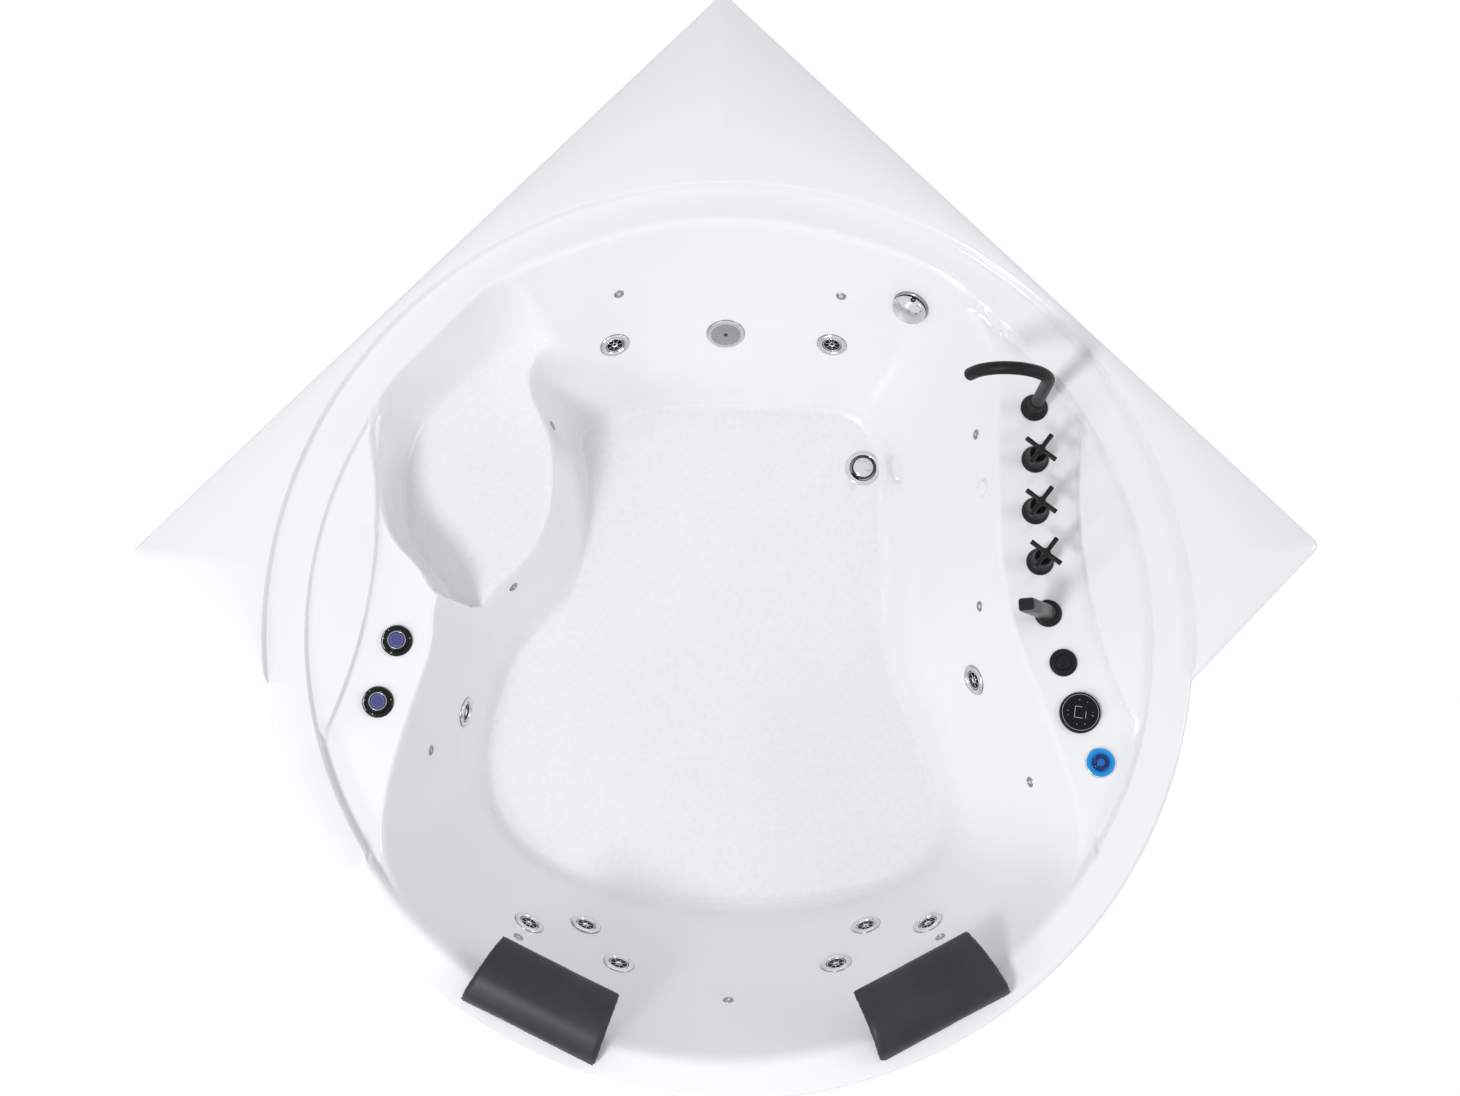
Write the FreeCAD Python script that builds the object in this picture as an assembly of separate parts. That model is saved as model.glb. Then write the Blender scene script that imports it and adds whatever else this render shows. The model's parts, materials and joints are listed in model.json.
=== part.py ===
"""Corner jetted bathtub: moulded shell, skirt, frame, waste, jets, pump, air system and taps.

All sizes are in millimetres. X runs along the front, Y towards the corner of the room, Z up.
The plan is drawn about the centre of the round rim; export moves it so that the origin lies
under the middle of the whole bathtub, on the floor.
"""
import FreeCAD, Part
import math
import os

V = FreeCAD.Vector
X_AXIS = V(1, 0, 0)
Z_AXIS = V(0, 0, 1)
ORIGIN = V(0, 0, 0)

# ---------------------------------------------------------------- plan of the deck
WALL_LENGTH = 1500.0        # each side that stands against a wall
CORNER_DIST = 1200.0        # back corner, from the centre of the round rim
CORNER_ROUND = 14.0         # corner tips, in plan
RIM_R = 825.0               # outer edge of the round rim
STEP_R = 752.0              # inner edge of the round rim where a shelf lies inside it
WELL_R = 758.0              # inner edge of the round rim where it drops into the well
SHELF_R = 950.0             # arc between a crescent shelf and its control deck
SHELF_X = 1581.0            # centre of that arc
SHELF_Y = 215.0
SIDE_DECK_X = 440.0         # shelves and control decks lie further out than this

# ---------------------------------------------------------------- heights above the floor
RIM_TOP = 620.0             # corner deck
RING_STEP = 18.0            # corner deck down to the round rim
SHELF_STEP = 14.0           # round rim down to a crescent shelf
DECK_STEP = 14.0            # crescent shelf down to a control deck
LIP_DEPTH = 44.0            # turned-down edge, from the corner deck
WELL_FLOOR = 160.0
SEAT_TOP = 405.0
SKIN = 6.0                  # wall of the moulded shell

RING_TOP = RIM_TOP - RING_STEP
SHELF_TOP = RING_TOP - SHELF_STEP
DECK_TOP = SHELF_TOP - DECK_STEP
LIP_BOTTOM = RIM_TOP - LIP_DEPTH
WELL_UNDER = WELL_FLOOR - SKIN
ABOVE = 60.0                # cutters run this far past the deck

# ---------------------------------------------------------------- plan of the well and the seat
# Share of the depth from the round rim, and share of the way from the rim plan to the base plan.
WELL_DRAFT = (
    (-0.06, -0.06), (0.12, 0.13), (0.30, 0.32), (0.48, 0.51), (0.66, 0.70), (0.81, 0.86),
    (0.91, 0.945), (0.97, 1.00), (1.0, 1.07))
SEAT_DRAFT = (
    (-0.06, -0.05), (0.22, 0.18), (0.48, 0.42), (0.72, 0.66), (0.90, 0.86), (1.0, 1.05))
BASE_SAG_FROM = 0.8         # the outer face starts to drop away from here to keep the base's wall

# ---------------------------------------------------------------- skirt
SKIRT_GAP = 8.0             # skirt behind the outer face of the lip
SKIRT_WALL = 4.0
SKIRT_FOOT = 12.0           # height of its lower edge
SKIRT_HEAD_GAP = 3.0        # under the round rim
SKIRT_FLANGE = 24.0
SKIRT_WALL_SETBACK = 26.0   # its two ends stop short of the walls
LAMP_R = 42.0               # coloured side light
LAMP_ALONG = 268.0          # from the left corner
LAMP_HEIGHT = 520.0
LAMP_PROUD = 16.0

# ---------------------------------------------------------------- frame and feet
BAR = 40.0                  # angle iron
BAR_WALL = 3.0
POST = 25.0                 # square posts
FOOT_PLATE = 56.0
FOOT_PLATE_T = 4.0
STUD_R = 6.0
STUD_CLEAR = 0.5
PAD_R = 26.0
PAD_H = 14.0
NUT_AF = 19.0
NUT_H = 10.0
BACK_POST_Y = 1079.0
SIDE_POST_X = 940.0
SIDE_POST_Y = 139.3
FRONT_POST_X = 472.0
FRONT_POST_Y = -596.0
FRONT_RAIL_Y = -260.0
BACK_RAIL_Y = 230.0

# ---------------------------------------------------------------- waste and overflow
DRAIN_X = 279.0
DRAIN_Y = 400.0
DRAIN_R = 35.0              # flange
DRAIN_BORE_R = 25.0
DRAIN_FLANGE_T = 3.0
PLUG_R = 23.0
PLUG_STEM_R = 4.0
PLUG_LIFT = 10.0
STEM_FIT = 0.05
OUTLET_R = 20.0
OVERFLOW_R = 35.0
OVERFLOW_BORE_R = 24.0
OVERFLOW_PIPE_R = 14.0
KNOB_STEM_R = 6.0

# ---------------------------------------------------------------- wall fittings: azimuth, height
JET_R = 29.0
JET_NECK_R = 19.0
JET_NOZZLE_R = 17.4
JET_PROUD = 5.0
JET_BODY_R = 25.0
JET_BODY_L = 44.0
FIT_GAP = 0.3               # between fitted pieces of different bodies
BODY_GAP = 0.7              # between the curved wall and the flat flange of a jet's body
JETS = (
    ("back_left", 109.0, 351.0), ("back_right", 70.7, 345.0),
    ("side_left", -168.1, 312.0), ("side_right", -8.3, 410.0),
    ("rest_left_outer", -126.1, 386.0), ("rest_left_inner", -117.9, 314.0),
    ("rest_left_upper", -109.5, 391.0), ("rest_right_upper", -71.9, 382.0),
    ("rest_right_inner", -63.4, 294.0), ("rest_right_outer", -54.7, 372.0))
MINI_R = 10.0
MINI_STEM_R = 5.0
MINI_PROUD = 3.0
MINI_JETS = (
    (106.6, 469.0), (71.5, 468.0), (-160.5, 435.0), (-125.8, 440.0), (-90.8, 448.0),
    (-55.1, 430.0), (-25.9, 465.0), (7.0, 492.0), (39.3, 508.0), (162.6, 362.0), (126.3, 335.0))
SUCTION_AT = (89.4, 343.0)
SUCTION_R = 37.0
SUCTION_BORE_R = 26.0
OVERFLOW_AT = (61.0, 500.0)
LIGHT_AT = (30.0, 530.0)
LIGHT_R = 18.0
LIGHT_BORE_R = 13.0

# ---------------------------------------------------------------- taps on the right deck
SPOUT_AT = (559.0, 408.0)
HANDLES = (("cold", 557.0, 311.0), ("diverter", 554.0, 215.0), ("hot", 559.0, 121.0))
SHOWER_AT = (570.0, 26.0)
TAP_BASE_R = 25.0
TAP_SHANK_R = 14.0
SPOUT_TUBE_R = 10.5
SPOUT_BORE_R = 8.0
SPOUT_RISE = 178.0
SPOUT_ARC_R = 70.0
SPOUT_ARC_DEG = 158.0
SPOUT_HEADING = 176.0       # plan direction of the outlet
HANDLE_HEIGHT = 84.0
HANDLE_HUB_R = 8.0
ARM_R = 4.0
ARM_REACH = 33.0
ARM_TURN = 52.0
SHOWER_TILT = 24.0
SHOWER_HEADING = 190.0
SHOWER_W = 30.0
SHOWER_D = 24.0
SHOWER_LEN = 118.0
SUPPLY_R = 10.5

# ---------------------------------------------------------------- controls
AIR_BUTTON_AT = (594.0, -64.0)
AIR_BUTTON_R = 25.0
PANEL_AT = (620.0, -155.0)
PANEL_R = 37.0
LAMP_BUTTON_AT = (653.0, -245.0)
LAMP_BUTTON_R = 28.0
AIR_KNOBS = (("front", -626.0, -126.0), ("rear", -594.0, -16.0))
AIR_KNOB_R = 28.0
CONTROL_SHANK_R = 15.0

# ---------------------------------------------------------------- head rests
REST_TURN = 27.0            # either side of straight ahead
REST_LENGTH = 260.0         # along the outer foot
REST_INNER = 230.0          # along the inner edge
REST_OUTER_R = 796.0        # outer foot of the arch
REST_DEPTH = 132.0          # outer foot to inner edge
REST_RISE = 52.0            # crown above the round rim
REST_THICK = 20.0
REST_PLATE = 3.0

# ---------------------------------------------------------------- water and air works
PUMP_Y = 890.0
PUMP_MOTOR_R = 72.0
PUMP_MOTOR_L = 210.0
PUMP_WET_R = 84.0
PUMP_WET_L = 74.0
PUMP_AXIS_ABOVE = 92.0      # axis above its tray
TRAY_T = 4.0
RING_PIPE_R = 700.0
RING_PIPE_Z = 300.0
WATER_PIPE_R = 16.0
WATER_PIPE_WALL = 2.5
BRANCH_R = 7.0
AIR_RING_R = 722.0
AIR_RING_Z = 378.0
AIR_PIPE_R = 8.0
AIR_BRANCH_R = 4.0
BLOWER_AT = (-790.0, 222.0)
BLOWER_R = 62.0
BLOWER_H = 120.0
CONTROL_BOX = (200.0, 120.0, 110.0)
CONTROL_BOX_AT = (790.0, 222.0)

# ---------------------------------------------------------------- smaller sizes
HOLE_CLEAR = 0.5            # holes in the shell round shanks and necks
CLIP_AZIMUTHS = (-150.0, -115.0, -65.0, -30.0)
CLIP_T = 2.0
CLIP_W = 40.0
CLIP_H = 30.0
CLIP_TAB = 26.0
POST_WALL = 2.0
TRAY_DEPTH = 170.0
DRAIN_WALL = 2.5
DRAIN_THROAT = 26.0
GUIDE_H = 4.0
DRAIN_BODY_H = 52.0
TRAP_LOW = 44.0
TRAP_RUN = 62.0
TRAP_OUT_Z = 92.0
OUTLET_STRAIGHT = 30.0
SEAT_RECESS = 0.6           # flat seats of the wall fittings are cut this deep
OVERFLOW_REACH = 130.0
OVERFLOW_PIPE_LOW = 128.0
JET_EYE_R = 6.0
MINI_TAIL = 24.0
SUCTION_COVER_R = 31.0
SUCTION_HOLE_R = 2.2
SUCTION_HOLES = ((9.0, 6), (16.0, 12), (23.5, 18))
SHANK_L = 34.0
SPOUT_BASE_H = 34.0
SPOUT_SOCKET = 10.0
SPOUT_LIP = 14.0
HANDLE_BASE_H = 44.0
HANDLE_COLLAR_R = 16.0
SPINDLE_R = 5.0
SPINDLE_DEEP = 16.0
VALVE_R = 15.0
VALVE_L = 84.0
SUPPLY_TAIL = 18.0
SHOWER_SLEEVE_R = 15.0
SHOWER_SLEEVE_H = 26.0
SHOWER_STEM_R = 9.0
SHOWER_STEM_FROM = 6.0
SHOWER_EDGE = 6.0
CONTROL_SHANK_L = 30.0
BEZEL_H = 6.0
BEZEL_FLOOR = 1.0
BUTTON_TRAVEL = 3.0
AIR_BUTTON_CAP_R = 14.0
LAMP_BUTTON_CAP_R = 14.0
PANEL_H = 8.0
PANEL_GLASS_R = 34.5
PANEL_GLASS_T = 2.0
AIR_BEZEL_H = 7.0
AIR_DIAL_R = 20.0
AIR_KNOB_SPIN = 35.0
REST_CROWN_AT = 0.34
REST_FOOT = 9.0
REST_EDGE = 4.0
REST_PLATE_INSET = 30.0
REST_PLATE_OUT = 6.0
REST_PLATE_IN = 32.0
REST_POST_X = 22.0
INLET_R = 22.0
INLET_L = 22.0
OUTLET_RISE = 16.0
SUCTION_STRAIGHT = 46.0
WATER_FROM = 76.0            # azimuth where the pump joins
WATER_TO = -255.0
WATER_KNEE = 44.0
AIR_FROM = -257.0
AIR_TO = 74.0
BLOWER_NECK = 16.0
BOX_EDGE = 6.0

PARTS = {}


# ================================================================ helpers
def polar(radius, degrees):
    """Plan point at a radius and azimuth."""
    return (radius * math.cos(math.radians(degrees)), radius * math.sin(math.radians(degrees)))


def arc_points(radius, start, end, count):
    """Evenly spaced plan points on an arc about the rim's centre."""
    return [polar(radius, start + (end - start) * i / (count - 1)) for i in range(count)]


def disc(radius, low, high, x=0.0, y=0.0):
    """Upright cylinder between two heights."""
    return Part.makeCylinder(radius, high - low, V(x, y, low))


def ring(outer, inner, low, high, x=0.0, y=0.0):
    """Upright tube between two heights."""
    return disc(outer, low, high, x, y).cut(disc(inner, low - 1, high + 1, x, y))


def turned(points):
    """Solid of revolution about Z from a closed (radius, height) profile."""
    wire = Part.makePolygon([V(r, 0, z) for r, z in points] + [V(points[0][0], 0, points[0][1])])
    return Part.Face(wire).revolve(ORIGIN, Z_AXIS, 360)


def prism(points, low, high):
    """Straight-sided solid on a plan polygon."""
    wire = Part.makePolygon([V(x, y, low) for x, y in points] + [V(points[0][0], points[0][1], low)])
    return Part.Face(wire).extrude(V(0, 0, high - low))


def hexagon(across, low, high):
    """Nut blank about Z."""
    corner = across / 2 / math.cos(math.radians(30))
    return prism([polar(corner, 60 * i) for i in range(6)], low, high)


def fuse_all(shapes):
    """One solid from touching or overlapping shapes."""
    first = shapes[0]
    return first.fuse(shapes[1:]).removeSplitter() if len(shapes) > 1 else first


def placed(shape, at, facing=Z_AXIS, spin=0.0):
    """Copy of a shape drawn about Z, turned to face a direction and moved to a point."""
    out = shape.copy()
    turn = FreeCAD.Rotation(Z_AXIS, facing).multiply(FreeCAD.Rotation(Z_AXIS, spin))
    out.Placement = FreeCAD.Placement(at, turn)
    return out


def bent_path(points, bend):
    """Wire of straight runs joined by tangent arcs."""
    edges = []
    start = points[0]
    for before, corner, after in zip(points, points[1:], points[2:]):
        into = (corner - before).normalize()
        away = (after - corner).normalize()
        turn = into.getAngle(away)
        trim = bend * math.tan(turn / 2)
        first = corner - into * trim
        last = corner + away * trim
        bisector = (away - into).normalize()
        centre = corner + bisector * (bend / math.cos(turn / 2))
        middle = centre - bisector * bend
        edges.append(Part.makeLine(start, first))
        edges.append(Part.Arc(first, middle, last).toShape())
        start = last
    edges.append(Part.makeLine(start, points[-1]))
    return Part.Wire(edges)


def pipe(points, bend, outer, inner=0.0):
    """Round bar or tube along a bent path."""
    path = bent_path(points, bend)
    heading = (points[1] - points[0]).normalize()
    body = sweep_disc(path, points[0], heading, outer)
    return body.cut(sweep_disc(path, points[0], heading, inner)) if inner else body


def sweep_disc(path, start, heading, radius):
    """Solid swept by a disc along a path."""
    rim = Part.Wire([Part.Circle(start, heading, radius).toShape()])
    return path.makePipeShell([rim], True, False)


def keep(name, *shapes):
    """Register a node: one solid, or a group of equal separate solids."""
    PARTS[name] = shapes[0] if len(shapes) == 1 else Part.makeCompound(list(shapes))


# ================================================================ plan outlines
CORNER_X = WALL_LENGTH / math.sqrt(2)
CORNER_SIDE_Y = CORNER_DIST - CORNER_X


def end_on_rim(inset=0.0):
    """Plan point where a short end, moved in by inset, meets the round rim, on the right."""
    radius = RIM_R - inset
    shift = inset * math.sqrt(2)
    start = V(CORNER_X, CORNER_SIDE_Y + shift, 0)
    run = V(-1, -1, 0).normalize()
    along = -start.dot(run) - math.sqrt(radius ** 2 - (start.Length ** 2 - start.dot(run) ** 2))
    return start + run * along


def deck_face(inset=0.0, z=0.0):
    """Face on the outline of the deck, moved in by inset."""
    meet = end_on_rim(inset)
    back = V(0, CORNER_DIST - inset * math.sqrt(2), 0)
    side = V(CORNER_X - inset * math.sqrt(2), CORNER_SIDE_Y, 0)
    rounding = max(CORNER_ROUND - inset, 1.0)
    corners = [meet, side, back, V(-side.x, side.y, 0), V(-meet.x, meet.y, 0)]
    path = bent_path(corners, rounding)
    front = Part.Arc(corners[-1], V(0, inset - RIM_R, 0), corners[0]).toShape()
    face = Part.Face(Part.Wire(path.Edges + [front]))
    face.translate(V(0, 0, z))
    return face


def deck_prism(inset, low, high):
    """Solid on the outline of the deck."""
    return deck_face(inset, low).extrude(V(0, 0, high - low))


# Well: pairs of points at the rim and at the floor, counter-clockwise from the right.
WELL_RIM = (
    [(518, 0), (500, 115), (497, 260), (501, 400), (500, 515)]
    + arc_points(WELL_R, 54, 115, 5)
    + [(-425, 622), (-440, 556), (-388, 441), (-368, 341), (-382, 251), (-424, 191), (-486, 131),
       (-534, 64), (-538, -5), (-566, -110), (-602, -225), (-626, -330), (-624, -415)]
    + arc_points(WELL_R, 223, 317, 6)
    + [(624, -415), (622, -330), (592, -225), (552, -105)])
WELL_BASE = [
    (333, -10), (320, 100), (319, 220), (320, 330), (316, 430),
    (282, 500), (175, 528), (25, 537), (-115, 532), (-225, 505),
    (-280, 470), (-278, 440), (-268, 385), (-265, 330), (-271, 255), (-292, 170), (-325, 125),
    (-368, 80), (-412, 20), (-445, -75), (-459, -180), (-448, -262), (-408, -325),
    (-345, -375), (-230, -420), (-80, -452), (80, -458), (235, -438), (350, -395),
    (402, -340), (412, -265), (392, -185), (366, -95)]
# Seat pocket: the same, at the rim and at the seat.
SEAT_RIM = (
    arc_points(WELL_R, 121, 141, 3)
    + [(-622, 430), (-634, 330), (-630, 245), (-602, 165), (-554, 108), (-530, 72), (-470, 66),
       (-300, 130), (-210, 250), (-190, 400), (-240, 540), (-320, 630)])
SEAT_BASE = [
    (-392, 592), (-459, 545), (-530, 478), (-575, 412), (-598, 330), (-594, 240), (-560, 165),
    (-517, 110), (-495, 82), (-460, 78), (-300, 135), (-210, 250), (-190, 400), (-240, 530),
    (-320, 590)]


def blend(outer, inner, share):
    """Points part of the way from one outline to another."""
    return [(a[0] + share * (b[0] - a[0]), a[1] + share * (b[1] - a[1])) for a, b in zip(outer, inner)]


def swollen(points, by):
    """Closed outline moved outwards along its own normals."""
    out = []
    for i, (x, y) in enumerate(points):
        before = points[i - 1]
        after = points[(i + 1) % len(points)]
        run = math.hypot(after[0] - before[0], after[1] - before[1])
        out.append((x + by * (after[1] - before[1]) / run, y - by * (after[0] - before[0]) / run))
    return out


def smooth_wire(points, z):
    """Closed smooth curve through plan points."""
    curve = Part.BSplineCurve()
    curve.interpolate(Points=[V(x, y, z) for x, y in points], PeriodicFlag=True)
    return Part.Wire([curve.toShape()])


def bowl(rim, base, low, draft, skin):
    """Loft from a rim plan down to a base plan; skin > 0 gives its outer face."""
    sections = []
    drop = RING_TOP - low
    for depth, share in draft:
        sag = skin * max(0.0, (depth - BASE_SAG_FROM) / (1 - BASE_SAG_FROM))
        sections.append(smooth_wire(swollen(blend(rim, base, share), skin), RING_TOP - depth * drop - sag))
    solid = Part.makeLoft(sections, True, False)
    if solid.Volume < 0:
        solid.reverse()
    return solid


def cavity(skin=0.0):
    """The space inside the well and over the seat."""
    well = bowl(WELL_RIM, WELL_BASE, WELL_FLOOR, WELL_DRAFT, skin)
    seat = bowl(SEAT_RIM, SEAT_BASE, SEAT_TOP, SEAT_DRAFT, skin)
    return well.fuse(seat)


CAVITY = cavity()


def wall_frame(azimuth, height):
    """Point on the wall of the cavity at a height, and the direction from it into the bath."""
    start = V(0, 0, height)
    reach = V(*polar(RIM_R, azimuth), height)
    inside = Part.makeLine(start, reach).common(CAVITY)
    point = max((v.Point for v in inside.Vertexes), key=lambda p: (p - start).Length)
    face = min(CAVITY.Faces, key=lambda f: f.distToShape(Part.Vertex(point))[0])
    outward = face.normalAt(*face.Surface.parameter(point))
    return point + outward * SEAT_RECESS, outward * -1


def skin_along(facing):
    """Thickness of the shell left behind a fitting's flat seat."""
    return SKIN * math.hypot(facing.x, facing.y) - SEAT_RECESS


# ================================================================ moulded shell
def side_zone(radius, low, high, shelf=True):
    """Both side zones inside a radius; without the shelf only the control decks are left."""
    zone = disc(radius, low, high)
    zone = zone.cut(Part.makeBox(2 * SIDE_DECK_X, 2 * RIM_R, high - low, V(-SIDE_DECK_X, -RIM_R, low)))
    if not shelf:
        grow = STEP_R - radius
        for side in (-1, 1):
            zone = zone.cut(disc(SHELF_R + grow, low, high, side * SHELF_X, SHELF_Y))
    return zone


def deck_plate():
    """Stepped deck with its turned-down lip."""
    solid = deck_prism(0, RIM_TOP - SKIN, RIM_TOP)
    lip = deck_prism(0, LIP_BOTTOM, RIM_TOP - SKIN).cut(deck_prism(SKIN, LIP_BOTTOM, RIM_TOP - SKIN))
    under_ring = deck_prism(0, RING_TOP - SKIN, RIM_TOP - SKIN).common(
        disc(RIM_R + SKIN, RING_TOP - SKIN, RIM_TOP))
    under_shelf = side_zone(STEP_R + SKIN, SHELF_TOP - SKIN, RING_TOP)
    under_deck = side_zone(STEP_R + SKIN, DECK_TOP - SKIN, SHELF_TOP, False)
    solid = solid.fuse([lip, under_ring, under_shelf, under_deck])
    above = disc(RIM_R, RING_TOP, RIM_TOP + ABOVE)
    above = above.fuse([
        side_zone(STEP_R, SHELF_TOP, RING_TOP + 1),
        side_zone(STEP_R, DECK_TOP, SHELF_TOP + 1, False)])
    return solid.cut(above).removeSplitter()


def wall_fittings():
    """(kind, point, facing into the bath) of every fitting in the wall."""
    out = [("jet", *wall_frame(azimuth, height)) for _, azimuth, height in JETS]
    out += [("mini", *wall_frame(*at)) for at in MINI_JETS]
    out.append(("suction", *wall_frame(*SUCTION_AT)))
    out.append(("overflow", *wall_frame(*OVERFLOW_AT)))
    out.append(("light", *wall_frame(*LIGHT_AT)))
    return out


HOLE_R = {"jet": JET_NECK_R + HOLE_CLEAR, "mini": MINI_STEM_R + HOLE_CLEAR,
          "suction": SUCTION_BORE_R + HOLE_CLEAR, "overflow": OVERFLOW_BORE_R + HOLE_CLEAR,
          "light": LIGHT_BORE_R + HOLE_CLEAR}
FLANGE_R = {"jet": JET_R, "mini": MINI_R, "suction": SUCTION_R, "overflow": OVERFLOW_R, "light": LIGHT_R}


def deck_holes():
    """Holes through the control decks for taps and controls."""
    spots = [(SPOUT_AT, TAP_SHANK_R), (SHOWER_AT, TAP_SHANK_R)]
    spots += [((x, y), TAP_SHANK_R) for _, x, y in HANDLES]
    spots += [(at, CONTROL_SHANK_R) for at in (AIR_BUTTON_AT, PANEL_AT, LAMP_BUTTON_AT)]
    spots += [((x, y), CONTROL_SHANK_R) for _, x, y in AIR_KNOBS]
    return [disc(radius + HOLE_CLEAR, DECK_TOP - 2 * SKIN, DECK_TOP + 1, *at) for at, radius in spots]


def tub_shell(fittings):
    """One moulded skin: stepped deck, well with a seat, holes and flat seats for the fittings."""
    outer = cavity(SKIN).common(disc(RIM_R - SKIN, WELL_UNDER - 1, RING_TOP))
    shell = deck_plate().fuse(outer).cut(CAVITY)
    cutters = deck_holes()
    drain_bore = disc(DRAIN_BORE_R + HOLE_CLEAR, WELL_UNDER - 1, WELL_FLOOR + 1, DRAIN_X, DRAIN_Y)
    drain_seat = disc(DRAIN_R + FIT_GAP, WELL_FLOOR, WELL_FLOOR + 4 * SKIN, DRAIN_X, DRAIN_Y)
    cutters.append(fuse_all([drain_bore, drain_seat]))
    for kind, point, facing in fittings:
        bore = disc(HOLE_R[kind], -3 * SKIN, 0)
        seat = disc(FLANGE_R[kind] + FIT_GAP, 0, 2 * SKIN)
        cutters.append(placed(fuse_all([bore, seat]), point, facing))
    return shell.cut(cutters)


# ================================================================ skirt and side light
def wall_side(setback):
    """Everything nearer to the walls than a setback, for trimming the skirt."""
    far = 2 * CORNER_X
    apex = CORNER_DIST - setback * math.sqrt(2)
    return prism([(-far, apex - far), (0, apex), (far, apex - far), (far, far), (-far, far)], 0, RIM_TOP)


def skirt():
    """Curved front and two short ends with a return flange at the foot."""
    head = RING_TOP - SKIN - SKIRT_HEAD_GAP
    outside = SKIN + SKIRT_GAP
    inside = outside + SKIRT_WALL
    panel = deck_prism(outside, SKIRT_FOOT, head).cut(deck_prism(inside, SKIRT_FOOT, head))
    foot = deck_prism(outside, SKIRT_FOOT, SKIRT_FOOT + SKIRT_WALL)
    foot = foot.cut(deck_prism(outside + SKIRT_FLANGE, SKIRT_FOOT, SKIRT_FOOT + SKIRT_WALL))
    return panel.cut(wall_side(SKIRT_WALL_SETBACK)).fuse(foot.cut(wall_side(outside + SKIRT_FLANGE + 1)))


def skirt_clips():
    """Four spring clips between the underside of the round rim and the skirt's head."""
    head = RING_TOP - SKIN - SKIRT_HEAD_GAP
    reach = SKIN + SKIRT_GAP + SKIRT_WALL
    clips = []
    for azimuth in CLIP_AZIMUTHS:
        hook = Part.makeBox(2 * CLIP_T, CLIP_W, CLIP_H, V(RIM_R - reach - CLIP_T, -CLIP_W / 2, head - CLIP_H))
        tab = Part.makeBox(CLIP_TAB, CLIP_W, CLIP_T,
                           V(RIM_R - reach - CLIP_TAB, -CLIP_W / 2, RING_TOP - SKIN - CLIP_T))
        web = Part.makeBox(CLIP_T, CLIP_W, CLIP_H / 2,
                           V(RIM_R - reach - CLIP_T, -CLIP_W / 2, RING_TOP - SKIN - CLIP_H / 2))
        clip = fuse_all([hook, web, tab]).common(disc(RIM_R - reach - FIT_GAP, 0, RIM_TOP))
        clips.append(placed(clip, ORIGIN, Z_AXIS, azimuth))
    return clips


def side_light():
    """Round domed lens on the left short end of the skirt."""
    outside = SKIN + SKIRT_GAP
    run = V(1, -1, 0).normalize()
    facing = V(-1, -1, 0).normalize()
    at = V(-CORNER_X, CORNER_SIDE_Y, LAMP_HEIGHT) + run * LAMP_ALONG - facing * outside
    dome = turned([(0, 0), (LAMP_R, 0), (LAMP_R, LAMP_PROUD * 0.4), (LAMP_R * 0.8, LAMP_PROUD * 0.85),
                   (LAMP_R * 0.4, LAMP_PROUD), (0, LAMP_PROUD)])
    return placed(dome, at, facing)


# ================================================================ frame and feet
POSTS = ((0.0, BACK_POST_Y), (SIDE_POST_X, SIDE_POST_Y), (FRONT_POST_X, FRONT_POST_Y),
         (-FRONT_POST_X, FRONT_POST_Y), (-SIDE_POST_X, SIDE_POST_Y))
RAIL_TOP = WELL_UNDER
RAIL_BOTTOM = RAIL_TOP - BAR


def angle_bar(start, end, inward):
    """Angle iron between two plan points; its flat leg lies on top and points inward."""
    along = V(end[0] - start[0], end[1] - start[1], 0)
    length = along.Length
    profile = Part.makePolygon([
        V(0, 0, 0), V(0, 0, BAR), V(0, inward * BAR, BAR), V(0, inward * BAR, BAR - BAR_WALL),
        V(0, inward * BAR_WALL, BAR - BAR_WALL), V(0, inward * BAR_WALL, 0), V(0, 0, 0)])
    bar = Part.Face(profile).extrude(V(length, 0, 0))
    turn = math.degrees(math.atan2(along.y, along.x))
    return placed(bar, V(start[0], start[1], RAIL_BOTTOM), Z_AXIS, turn)


def rail_reach(y):
    """Half width of the frame at a plan line, on its perimeter bars."""
    if y < SIDE_POST_Y:
        share = (y - FRONT_POST_Y) / (SIDE_POST_Y - FRONT_POST_Y)
        return FRONT_POST_X + share * (SIDE_POST_X - FRONT_POST_X)
    return SIDE_POST_X * (BACK_POST_Y - y) / (BACK_POST_Y - SIDE_POST_Y)


FEET = POSTS + ((0.0, FRONT_RAIL_Y + BAR / 2), (0.0, BACK_RAIL_Y - BAR / 2))


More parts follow.
